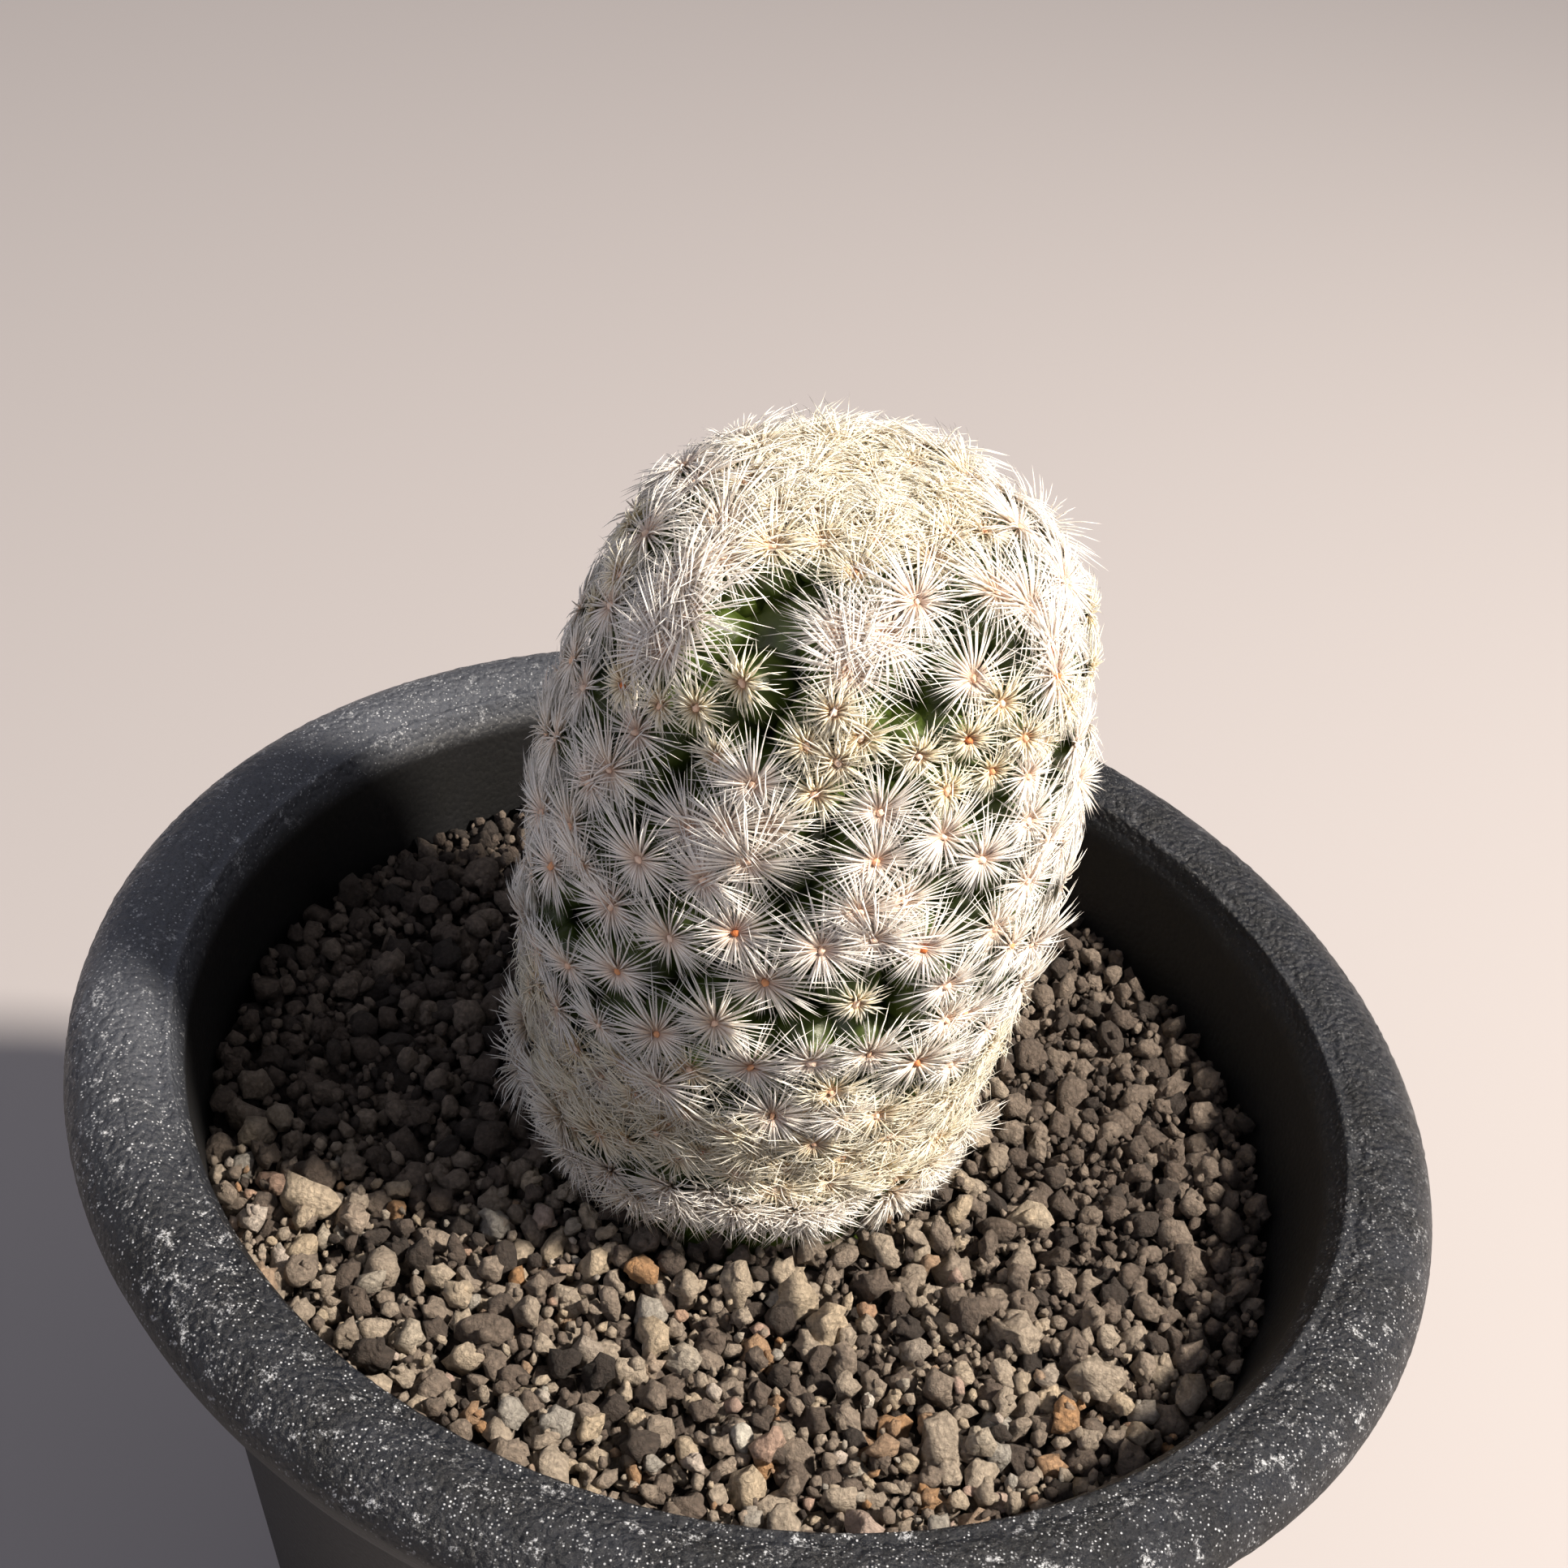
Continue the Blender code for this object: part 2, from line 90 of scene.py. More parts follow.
# Stones seen on top: place and size in mm, and where their colour lies on the tone ramp
SEEN_STONES = [
    (5.3, -16.2, 2.9, 0.81), (7.7, -18.1, 2.8, 0.78), (1.3, -16.4, 3.2, 0.70), (-3.2, -21.6, 2.6, 0.80),
    (-24.4, -17.5, 2.6, 0.90), (-12.9, -18.9, 1.4, 0.945), (-2.5, -30.6, 2.4, 0.06), (4.6, -26.1, 2.2, 0.10),
    (3.7, -28.2, 1.7, 1.00), (5.4, -28.6, 1.9, 0.965), (-7.9, -30.2, 2.0, 0.88), (12.5, -26.4, 1.9, 0.92),
    (-5.7, -29.5, 1.6, 0.80), (16.1, -24.5, 3.2, 0.62), (18.5, -24.8, 2.0, 0.84), (20.2, -14.5, 3.4, 0.60),
    (16.8, -14.1, 2.4, 0.12), (25.9, -17.1, 3.0, 0.66), (-27.7, -17.0, 3.2, 0.74), (-18.4, -25.7, 2.0, 0.84),
    (20.6, -3.9, 2.4, 0.82), (15.9, -10.7, 1.3, 0.97), (16.8, -20.3, 1.2, 0.97),
]
STONE_SINK = 0.38
GRAIN_LAYER = 2.6 * MM
GRAIN_TOP = SOIL_HEIGHT + 0.9 * MM
HEAP_CELL = 0.25 * MM
SPOT_TRIES = 7
REST_SHARE = 0.82
KNOBS = 1.05
KNOBS_ACROSS = 3.0
BEHIND_STEM_DARKENING = 0.66
BED_SHADE_TONE = 0.05
STEM_CLEARANCE = 12.9 * MM
STEM_MOUND = 1.3 * MM
MOUND_REACH = 7.0 * MM

# Stem sizes: radius and height above the mix of the surface through the spine clusters
STEM_PLACE = Vector((-1.4 * MM, 0.4 * MM, 0.0))
STEM_OUTLINE_MM = [
    (14.0, 0.0), (15.3, 6.0), (16.1, 12.0), (16.9, 18.0), (17.4, 24.0), (17.6, 30.0), (17.0, 36.0),
    (15.8, 42.0), (14.2, 47.4), (9.4, 51.5), (0.0, 53.0),
]
STEM_DEPTH = 8.0 * MM
STEM_LEAN = 0.4 * MM
LEAN_FROM = 20.0 * MM
LEAN_OVER = 30.0 * MM
LOWEST_CLUSTER = 5.0 * MM
CROWN_REACH = 14.0 * MM
CLUSTER_SPACING = (1.5 * MM, 4.9 * MM)
AREA_SHARE = 0.866
UNEVEN_BASE = 1.8 * MM
MAT_FROM = 42.5 * MM
MAT_CROWDING = 0.42
CROWN_UNTIL = 9.0 * MM
SMALL_BAND_MIDDLE = 18.9 * MM
SMALL_BAND_HALF = 2.6 * MM
MATTED_BELOW = 17.0 * MM
BASE_BELOW = 7.5 * MM

# Spine clusters seen in front: turn from the front in degrees, way from the crown in mm
SEEN_STARS = {
    "white": [
        (58, 10.0), (-48, 10.9), (13, 11.8), (66, 11.9), (-1, 12.0), (-50, 13.7), (4, 14.2), (38, 14.5),
        (66, 14.8), (-41, 14.9), (-50, 16.3), (65, 16.4), (-42, 17.4), (-68, 18.9), (-51, 19.1),
        (53, 21.8), (-11, 22.2), (16, 22.4), (-42, 23.2), (31, 24.2), (-64, 24.3), (-6, 24.5), (54, 24.9),
        (-14, 25.3), (17, 25.6), (-44, 26.2), (41, 26.2), (-22, 26.7), (-8, 27.0), (63, 27.6),
        (-49, 28.2), (25, 28.5), (16, 29.0), (-16, 29.3), (57, 29.7), (-30, 30.0), (20, 31.0), (10, 31.9),
        (-51, 32.0), (-7, 32.0), (31, 32.0), (50, 32.5), (-44, 33.4), (-20, 34.4), (56, 34.6),
        (-67, 34.8), (-35, 34.8), (1, 35.4), (39, 35.6), (79, 38.4), (42, 38.9), (-30, 39.0), (-7, 39.4),
        (50, 39.9), (26, 40.8), (-78, 41.1), (14, 41.4), (-44, 41.8), (38, 42.3), (-19, 42.4), (2, 42.8),
        (-33, 44.4), (-60, 45.1), (-33, 49.8), (-57, 50.7),
    ],
    "small": [
        (44, 16.3), (-20, 16.6), (2, 16.6), (-70, 16.9), (9, 17.9), (34, 18.0), (67, 18.8), (23, 18.9),
        (50, 18.9), (-2, 19.0), (-28, 19.2), (5, 19.5), (59, 20.3), (-37, 20.4), (43, 20.8), (-49, 21.1),
        (30, 21.1), (-21, 21.6), (2, 21.7), (20, 36.2),
    ],
    "matted": [
        (20, 44.1), (-11, 44.8), (66, 45.8), (18, 46.3), (33, 47.3), (55, 48.5), (-10, 48.7), (6, 49.1),
        (46, 49.4), (4, 53.1), (-24, 54.0), (46, 54.5), (-49, 55.5), (-41, 56.6),
    ],
    "base": [
        (-1, 56.3), (-11, 56.8), (34, 57.0), (21, 57.1), (13, 57.5), (48, 57.6), (64, 57.8), (-28, 58.4),
    ],
}
SEEN_TURN = 62.0
SEEN_ALONG = (13.5 * MM, 45.0 * MM)

# Room that the spiral's clusters leave round the seen ones, as a share of the spacing
ROOM_IN_FRONT = (0.95, 0.75)
ROOM_ELSEWHERE = 0.60
ROOM_AT_BASE = 0.48
BASE_FROM = 50.0 * MM

# How each kind of cluster grows: angles in radians, bends as a share of the spine's length
LOOKS = "spines reach rise spread lift curl sway droop wave comb warm thick".split()
STAR_LOOKS = {
    "white": (92, 5.1 * MM, 0.0, 0.50, 0.20, 0.07, 0.06, 0.03, 0.015, 0.0, 0.05, 1.0),
    "small": (70, 3.3 * MM, 0.10, 0.90, 0.10, 0.25, 0.22, 0.05, 0.08, 0.0, 0.85, 0.95),
    "matted": (82, 5.0 * MM, 0.05, 0.50, 0.12, 0.20, 0.34, 0.05, 0.12, 0.35, 0.75, 0.85),
    "base": (100, 5.3 * MM, 0.52, 0.80, 0.10, 0.05, 0.18, 0.14, 0.06, 0.10, 0.15, 1.0),
    "crown": (90, 4.5 * MM, 0.10, 0.70, 0.10, 0.08, 0.15, 0.0, 0.05, 0.0, 0.72, 0.95),
}
LENGTH_SCATTER = 0.26
UPPER_LENGTHENING = 0.26
INNER_SHORTENING = 0.28
PRESS = 0.40
AXIS_TILT = 0.12
SPINE_THICKNESS = 0.165 * MM
AREOLE_RADIUS = 0.29 * MM
SPINE_FOOT_RING = 0.25 * MM
HIGH_FROM = 32.0 * MM
LOW_UNTIL = 12.5 * MM


def linear(code):
    """An sRGB hex colour as linear RGBA."""
    parts = [int(code[i:i + 2], 16) / 255.0 for i in (1, 3, 5)]
    return tuple(p / 12.92 if p <= 0.04045 else ((p + 0.055) / 1.055) ** 2.4 for p in parts) + (1.0,)


# Short names for nodes that recur, with the settings they always have. One in capitals is a sum on numbers.
SUMS = ("ADD", "SUBTRACT", "MULTIPLY", "DIVIDE", "MULTIPLY_ADD", "POWER", "SQRT", "SINE", "COSINE",
        "MAXIMUM", "GREATER_THAN")
SHORT_NAMES = {name: ("ShaderNodeMath", {"operation": name}) for name in SUMS}
SHORT_NAMES.update({
    "add vectors": ("ShaderNodeVectorMath", {"operation": "ADD"}),
    "scale": ("ShaderNodeVectorMath", {"operation": "SCALE"}),
    "cross": ("ShaderNodeVectorMath", {"operation": "CROSS_PRODUCT"}),
    "normalize": ("ShaderNodeVectorMath", {"operation": "NORMALIZE"}),
    "split": ("ShaderNodeSeparateXYZ", {}),
    "join": ("ShaderNodeCombineXYZ", {}),
    "remap": ("ShaderNodeMapRange", {}),
    "ramp": ("ShaderNodeValToRGB", {}),
    "mix colours": ("ShaderNodeMix", {"data_type": "RGBA"}),
    "noise": ("ShaderNodeTexNoise", {}),
    "cells": ("ShaderNodeTexVoronoi", {}),
    "bump": ("ShaderNodeBump", {}),
    "read number": ("GeometryNodeInputNamedAttribute", {"data_type": "FLOAT"}),
    "read vector": ("GeometryNodeInputNamedAttribute", {"data_type": "FLOAT_VECTOR"}),
    "store number": ("GeometryNodeStoreNamedAttribute", {"data_type": "FLOAT", "domain": "POINT"}),
    "store vector": ("GeometryNodeStoreNamedAttribute", {"data_type": "FLOAT_VECTOR", "domain": "POINT"}),
    "random": ("FunctionNodeRandomValue", {"data_type": "FLOAT"}),
    "place on points": ("GeometryNodeInstanceOnPoints", {}),
    "turn to": ("FunctionNodeAlignRotationToVector", {"axis": "Z", "pivot_axis": "AUTO"}),
    "set position": ("GeometryNodeSetPosition", {}),
})


def fill(tree, socket, value):
    """Links an input to another node's output, or sets its own value."""
    if isinstance(value, bpy.types.NodeSocket):
        tree.links.new(value, socket)
    else:
        socket.default_value = value


def add_node(tree, kind, *values, inputs=None, stops=(), output=None, **settings):
    """Adds a node with its settings, fills its inputs in order and by name, and gives one live output."""
    kind, usual = SHORT_NAMES.get(kind, (kind, {}))
    made = tree.nodes.new(kind)
    for name, value in {**usual, **settings}.items():
        setattr(made, name, value)
    live = [socket for socket in made.inputs if socket.enabled]
    for socket, value in zip(live, values):
        fill(tree, socket, value)
    for name, value in (inputs or {}).items():
        fill(tree, next(socket for socket in live if socket.name == name), value)
    for index, (position, code) in enumerate(stops):
        elements = made.color_ramp.elements
        stop = elements[index] if index < len(elements) else elements.new(position)
        stop.position = position
        stop.color = linear(code)
    return next((s for s in made.outputs if s.enabled and output in (None, s.name)), None)


def smoothstep(x):
    x = np.clip(x, 0.0, 1.0)
    return x * x * (3.0 - 2.0 * x)


def mix(a, b, share):
    return a + (b - a) * share


def unit(vectors):
    return vectors / np.linalg.norm(vectors, axis=-1, keepdims=True)


def new_object(name, data):
    obj = bpy.data.objects.new(name, data)
    bpy.context.scene.collection.objects.link(obj)
    return obj


def mesh_object(name, verts, faces, smooth=True):
    """A mesh piece with its place in its mesh and its faces pointing out."""
    mesh = bpy.data.meshes.new(name)
    mesh.from_pydata([tuple(v) for v in verts], [], faces)
    bm = bmesh.new()
    bm.from_mesh(mesh)
    bmesh.ops.recalc_face_normals(bm, faces=bm.faces)
    bm.to_mesh(mesh)
    bm.free()
    if smooth:
        mesh.shade_smooth()
    return new_object(name, mesh)


def plain_mesh(obj):
    """What the object's modifiers make of it, as a mesh of its own."""
    return bpy.data.meshes.new_from_object(obj.evaluated_get(bpy.context.evaluated_depsgraph_get()))


def place_piece(obj, slot, *nodes):
    """The piece rides on the one body and stands for its nodes."""
    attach(obj, "root")
    if nodes:
        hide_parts(*nodes)


# Materials

def new_material(name):
    """A material, and what adds nodes to it."""
    material = bpy.data.materials.new(name)
    material.use_nodes = True
    return material, partial(add_node, material.node_tree)


def finish_material(material, looks):
    """Fills inputs of the material's shader."""
    tree = material.node_tree
    for name, value in looks.items():
        fill(tree, tree.nodes["Principled BSDF"].inputs[name], value)
    return material


def scuffs_and_painted_glints(add, place, y, grit, dust_and_sheen_side):
    """Where the lip looks pale: scuffs that break into flakes on the grit, and bright dots that are painted
    glints of single grains.
    """
    rubbed = add("noise", place, 1.0 / (1.6 * MM), 6.0, 0.7)
    flakes = add("MULTIPLY", add("remap", rubbed, 0.57, 0.64), add("remap", grit, 0.48, 0.56))
    # Painted glints: bright dots in the colour stand for the highlight on single grains, drawn coarser than
    # the mould's own grit so that they show
    painted_glint_cells = add("cells", place, 1.0 / (0.23 * MM)).node.outputs
    chance, strength, _ = add("ShaderNodeSeparateColor", painted_glint_cells["Color"]).node.outputs
    patches = add("noise", place, 1.0 / (2.4 * MM), 4.0, 0.6)
    lit = add("GREATER_THAN", chance, add("remap", patches, 0.35, 0.62, 0.76, 0.36))
    painted_glint = add("MULTIPLY", add("remap", painted_glint_cells["Distance"], 0.34, 0.22), lit)
    painted_glint = add("MULTIPLY", painted_glint, strength)
    scuffs_and_glints = add("MAXIMUM", add("MULTIPLY", flakes, 0.8), painted_glint)
    # More of both towards the front, where the painted glints follow the lip's highlight, and on the left
    scuffs_and_glints_spread = add("MAXIMUM", add("remap", y, 6.0 * MM, -16.0 * MM, 0.22, 1.0), dust_and_sheen_side)
    return add("MULTIPLY", scuffs_and_glints, scuffs_and_glints_spread)


def moulded_pot_plastic():
    """Charcoal polypropylene from a sparked mould: bluish and satin, with dusty scuffs on the gritty lip,
    and painted shade, sheen and glints.
    """
    material, add = new_material("moulded_pot_plastic")
    place = add("ShaderNodeTexCoord", output="Object")
    x, y, z = add("split", place).node.outputs
    radius = add("SQRT", add("ADD", add("MULTIPLY", x, x), add("MULTIPLY", y, y)))
    off_wall = add("remap", radius, RIDGE_RADIUS - 1.6 * MM, RIDGE_RADIUS)
    on_lip = add("remap", z, POT_HEIGHT - 3.2 * MM, POT_HEIGHT - 1.4 * MM)
    on_lip = add("MULTIPLY", on_lip, off_wall)
    clouds = add("noise", place, 1.0 / (7.0 * MM), 3.0, 0.55)
    # Painted shade: off the lip, the wall and body are the same plastic painted darker than the lip's slate
    painted_shade_charcoal = add("ramp", clouds, stops=[(0.3, "#050607"), (0.7, "#0b0c10")])
    mottle = add("noise", place, 1.0 / (3.0 * MM), 5.0, 0.65)
    slate = add("ramp", mottle, stops=[(0.35, "#11141a"), (0.7, "#20242d")])
    colour = add("mix colours", on_lip, painted_shade_charcoal, slate)

    # Dust and painted sheen lie on the left of the lip, behind its front: the paler tone there is partly
    # dust, partly a painted reflection of the sky
    dust_and_sheen_side = add("remap", x, 5.0 * MM, -40.0 * MM)
    off_front = add("remap", y, -30.0 * MM, -8.0 * MM)
    dust_and_sheen_haze = add("MULTIPLY", add("MULTIPLY", dust_and_sheen_side, off_front), on_lip)
    colour = add("mix colours", add("MULTIPLY", dust_and_sheen_haze, 0.75), colour, linear("#5c616c"))
    grit = add("noise", place, 1.0 / (0.26 * MM), 4.0, 0.75)
    # The pale mark on the lip: real scuffs, and painted glints standing for the highlight on its grains
    scuffs_and_glints = add("MULTIPLY", scuffs_and_painted_glints(add, place, y, grit, dust_and_sheen_side), on_lip)
    colour = add("mix colours", scuffs_and_glints, colour, linear("#ced3dc"))

    dull = add("MULTIPLY", add("SUBTRACT", 1.0, on_lip), 0.28)
    roughness = add("ADD", add("remap", grit, 0.3, 0.7, 0.24, 0.36), dull)
    beads = add("cells", place, 1.0 / (0.42 * MM), feature="SMOOTH_F1")
    rise = add("SUBTRACT", add("MULTIPLY", grit, 0.6), add("MULTIPLY", beads, beads))
    rise = add("MULTIPLY", rise, add("remap", on_lip, 0.0, 1.0, 0.12, 1.0))
    return finish_material(material, {
        "Base Color": colour, "Roughness": roughness, "Specular IOR Level": 0.42,
        "Normal": add("bump", inputs={"Height": rise, "Distance": 0.32 * MM, "Strength": 1.0}),
    })


def waxy_green_skin():
    """Cactus skin: deep green, waxy, with a pale bloom that catches the light."""
    material, add = new_material("waxy_green_skin")
    place = add("ShaderNodeTexCoord", output="Object")
    blotch = add("noise", place, 1.0 / (1.8 * MM), 3.0, 0.55)
    mature = add("ramp", blotch, stops=[(0.3, "#26330d"), (0.55, "#43541b"), (0.8, "#64733a")])
    fresh = add("ramp", blotch, stops=[(0.3, "#8f9148"), (0.7, "#c3bd78")])
    height = add("split", place).node.outputs["Z"]
    near_top = add("remap", height, SOIL_HEIGHT + 50.6 * MM, SOIL_HEIGHT + 52.4 * MM)
    wax = add("noise", place, 1.0 / (0.3 * MM), 3.0, 0.55)
    return finish_material(material, {
        "Base Color": add("mix colours", near_top, mature, fresh), "Roughness": 0.38,
        "Normal": add("bump", inputs={"Height": wax, "Distance": 0.06 * MM, "Strength": 0.6}),
    })


def areole_felt():
    """Short felt at each cluster's middle: rust to pale peach, quite matt."""
    material, add = new_material("areole_felt")
    place = add("ShaderNodeTexCoord", output="Object")
    tone = add("ShaderNodeAttribute", attribute_name="tone", output="Fac")
    colour = add("ramp", tone, stops=[
        (0.0, "#d0733a"), (0.07, "#e3a476"), (0.20, "#f2c9ab"), (1.0, "#fae3d2"),
    ])
    tufts = add("noise", place, 1.0 / (0.12 * MM), 3.0, 0.55)
    return finish_material(material, {
        "Base Color": colour, "Roughness": 0.9,
        "Normal": add("bump", inputs={"Height": tufts, "Distance": 0.1 * MM, "Strength": 1.0}),
    })


def white_spine():
    """Dry hollow spines: chalk white, light seeps through them, peach where they root."""
    material, add = new_material("white_spine")
    along = add("ShaderNodeAttribute", attribute_name="along", output="Fac")
    warm = add("ShaderNodeAttribute", attribute_name="warm", output="Fac")
    pale = add("ramp", along, stops=[
        (0.0, "#f6ceb3"), (0.10, "#fbdfcb"), (0.26, "#fdeee2"), (0.45, "#fef8f2"), (1.0, "#fefdfb"),
    ])
    cream = add("ramp", along, stops=[
        (0.0, "#e0b283"), (0.12, "#edd2a6"), (0.30, "#f6e8c4"), (0.6, "#fbf3d8"), (1.0, "#fdf9e6"),
    ])
    return finish_material(material, {
        "Base Color": add("mix colours", warm, pale, cream), "Roughness": 0.45, "Subsurface Weight": 0.6,
        "Subsurface Radius": (1.0, 0.92, 0.82), "Subsurface Scale": 0.4 * MM,
    })


def dry_granules():
    """Baked clay, pumice and grit: crumbly and matt, each grain its own brown, grey, tan or rust."""
    material, add = new_material("dry_granules")
    place = add("ShaderNodeTexCoord", output="Object")
    tone = add("ShaderNodeAttribute", attribute_name="tone", output="Fac")
    body = add("ramp", tone, stops=[
        (0.0, "#39322f"), (0.16, "#6c6058"), (0.40, "#9a8d81"), (0.66, "#b8ab9c"),
        (0.80, "#c9b8a1"), (0.88, "#afaba5"), (0.945, "#b98f66"), (0.97, "#c0a79c"), (1.0, "#d9d5cc"),
    ])
    pores = add("cells", place, 1.0 / (0.42 * MM))
    dust = add("noise", place, 1.0 / (0.45 * MM), 6.0, 0.72)
    # Painted shade in the hollows: the colour is darker in the pores and where the relief lies low, and
    # lighter where it stands high
    painted_pore_shade = add("remap", pores, 0.25, 0.75, 1.06, 0.78)
    relief_tint = add("remap", dust, 0.3, 0.7, 0.66, 1.26)
    colour = add("ShaderNodeVectorMath", body, add("MULTIPLY", painted_pore_shade, relief_tint), operation="MULTIPLY")
    crumbly = add("SUBTRACT", dust, add("MULTIPLY", pores, 0.35))
    return finish_material(material, {
        "Base Color": colour, "Roughness": 0.9,
        "Normal": add("bump", inputs={"Height": crumbly, "Distance": 0.6 * MM, "Strength": 1.0}),
    })


def pale_floor():
    """A plain matt studio floor."""
    material, _ = new_material("pale_floor")
    return finish_material(material, {"Base Color": linear("#a9a6aa"), "Roughness": 0.8})


# Pot

def body_radius(z):
    """Radius of the pot's tapering outer wall at a height."""
    return BODY_RADIUS_AT_RIDGE + BODY_TAPER * (z - RIDGE_HEIGHT)


def subdivide(points, step):
    """Points along straight runs, none further apart than the step."""
    dense = []
    for (r0, z0), (r1, z1) in zip(points, points[1:]):
        count = max(1, math.ceil(math.hypot(r1 - r0, z1 - z0) / step))
        dense += [(mix(r0, r1, i / count), mix(z0, z1, i / count)) for i in range(count)]
    return dense + [points[-1]]


def lip_outline():
    """The lip from below its inner ridge over the crest to the foot of its rounded edge."""
    ridge = [
        (RIDGE_RADIUS - 0.55 * MM, RIDGE_HEIGHT - CHAMFER),
        (RIDGE_RADIUS - 0.20 * MM, RIDGE_HEIGHT - 0.30 * MM),
        (RIDGE_RADIUS - 0.02 * MM, RIDGE_HEIGHT + 0.10 * MM),
        (RIDGE_RADIUS + 0.22 * MM, RIDGE_HEIGHT + 0.20 * MM),
        (RIDGE_RADIUS + 0.50 * MM, RIDGE_HEIGHT + 0.06 * MM),
    ]
    crest_start = RIDGE_RADIUS + 0.8 * MM
    crest = [
        (mix(crest_start, LIP_CREST_RADIUS, t), RIDGE_HEIGHT + mix(0.1 * MM, LIP_CREST_RISE, t * (2 - t)))
        for t in (i / 6 for i in range(6))
    ]
    reach = LIP_RADIUS - LIP_CREST_RADIUS
    edge = [
        (LIP_CREST_RADIUS + reach * math.sin(a), POT_HEIGHT - LIP_EDGE_DROP * (1 - math.cos(a)))
        for a in (math.radians(6 * i) for i in range(16))
    ]
    return ridge + crest + edge


def pot_outline():
    """The pot's closed outline without its floor: fine rings on the lip, coarse ones on the rest."""
    skirt_z = POT_HEIGHT - LIP_DEPTH
    foot_outer = body_radius(0.0)
    inner_top_z = RIDGE_HEIGHT - CHAMFER
    floor_z = FOOT_RECESS + FLOOR
    rest = [
        (LIP_RADIUS - 0.6 * MM, POT_HEIGHT - 4.6 * MM),
        (LIP_RADIUS - LIP_SKIRT_INSET + 0.1 * MM, skirt_z + 0.15 * MM),
        (LIP_RADIUS - LIP_SKIRT_INSET - 0.2 * MM, skirt_z),
        (body_radius(skirt_z) + 0.9 * MM, skirt_z - 0.05 * MM),
        (body_radius(skirt_z - 0.4 * MM) + 0.2 * MM, skirt_z - 0.4 * MM),
        (body_radius(skirt_z - 1.2 * MM), skirt_z - 1.2 * MM),
        (body_radius(0.8 * MM), 0.8 * MM),
        (foot_outer - 0.25 * MM, 0.22 * MM),
        (foot_outer - 0.8 * MM, 0.0),
        (foot_outer - FOOT_WIDTH, 0.0),
        (foot_outer - FOOT_WIDTH - 0.5 * MM, FOOT_RECESS + 0.2 * MM),
        (body_radius(floor_z) - WALL - 1.0 * MM, floor_z),
        (body_radius(floor_z + 1.0 * MM) - WALL, floor_z + 1.0 * MM),
        (body_radius(inner_top_z - 1.6 * MM) - WALL, inner_top_z - 1.6 * MM),
        (body_radius(inner_top_z - 0.4 * MM) - WALL, inner_top_z - 0.4 * MM),
    ]
    return subdivide(lip_outline(), LIP_GRIT) + subdivide(rest, BODY_RING_STEP)


def bands(rows, size, closed):
    """Faces between neighbouring rows of points, each row closed on itself."""
    faces = []
    for row in range(rows if closed else rows - 1):
        here = row * size
        there = (row + 1) % rows * size
        for j in range(size):
            after = (j + 1) % size
            faces.append((here + j, there + j, there + after, here + after))
    return faces


def turn_outline(name, outline, segments):
    """Turns a closed outline round the upright axis."""
    angles = np.linspace(0.0, 2.0 * math.pi, segments, endpoint=False)
    verts = [(r * math.cos(a), r * math.sin(a), z) for a in angles for r, z in outline]
    return mesh_object(name, verts, bands(segments, len(outline), closed=True))


def roughen_lip(obj):
    """Raises the coarse mould grit on the lip, with smoother worn patches among it."""
    mesh = obj.data
    place = np.empty((len(mesh.vertices), 3))
    normal = np.empty((len(mesh.vertices), 3))
    mesh.vertices.foreach_get("co", place.ravel())
    mesh.vertices.foreach_get("normal", normal.ravel())
    radius = np.hypot(place[:, 0], place[:, 1])
    share = smoothstep((place[:, 2] - (POT_HEIGHT - 3.6 * MM)) / (1.4 * MM))
    share *= smoothstep((radius - RIDGE_RADIUS + 0.9 * MM) / (0.6 * MM))
    near_ridge = 1.0 - smoothstep((radius - RIDGE_RADIUS - 0.2 * MM) / (0.5 * MM))
    for i in np.nonzero(share > 0.01)[0]:
        spot = Vector(place[i])
        grit = 0.6 * noise.noise(spot / (0.9 * MM)) + noise.cell(spot / (0.42 * MM)) - 0.5
        worn = float(smoothstep((noise.noise(spot / (4.5 * MM)) - 0.12) / 0.15))
        lift = 0.045 * MM * grit * (1.0 - 0.75 * worn) * share[i] * (1.0 - 0.6 * near_ridge[i])
        place[i] += normal[i] * lift
    mesh.vertices.foreach_set("co", place.ravel())
    mesh.update()


def discs(name, places, depth, segments):
    """Closed upright discs, each a middle and a radius, as one object."""
    bm = bmesh.new()
    for middle, radius in places:
        bmesh.ops.create_cone(bm, cap_ends=True, segments=segments, radius1=radius, radius2=radius,
                              depth=depth, matrix=Matrix.Translation(middle))
    mesh = bpy.data.meshes.new(name)
    bm.to_mesh(mesh)
    bm.free()
    return new_object(name, mesh)


def make_pot_floor():
    """The pot's floor with its drain holes."""
    middle = Vector((0.0, 0.0, FOOT_RECESS + 0.5 * FLOOR))
    floor = discs("pot_floor", [(middle, body_radius(FOOT_RECESS) - WALL - 0.6 * MM)], FLOOR, 96)
    holes = [(middle, MIDDLE_HOLE_RADIUS)]
    for index in range(SIDE_HOLES):
        angle = 2.0 * math.pi * index / SIDE_HOLES
        offset = Vector((math.cos(angle), math.sin(angle), 0.0)) * SIDE_HOLE_CIRCLE
        holes.append((middle + offset, SIDE_HOLE_RADIUS))
    cutter = discs("drain_cutter", holes, 2.0 * FLOOR, 48)
    cut = floor.modifiers.new("drain holes", "BOOLEAN")
    cut.operation = "DIFFERENCE"
    cut.object = cutter
    baked = plain_mesh(floor)
    floor.modifiers.clear()
    floor.data = baked
    bpy.data.objects.remove(cutter, do_unlink=True)
    return floor


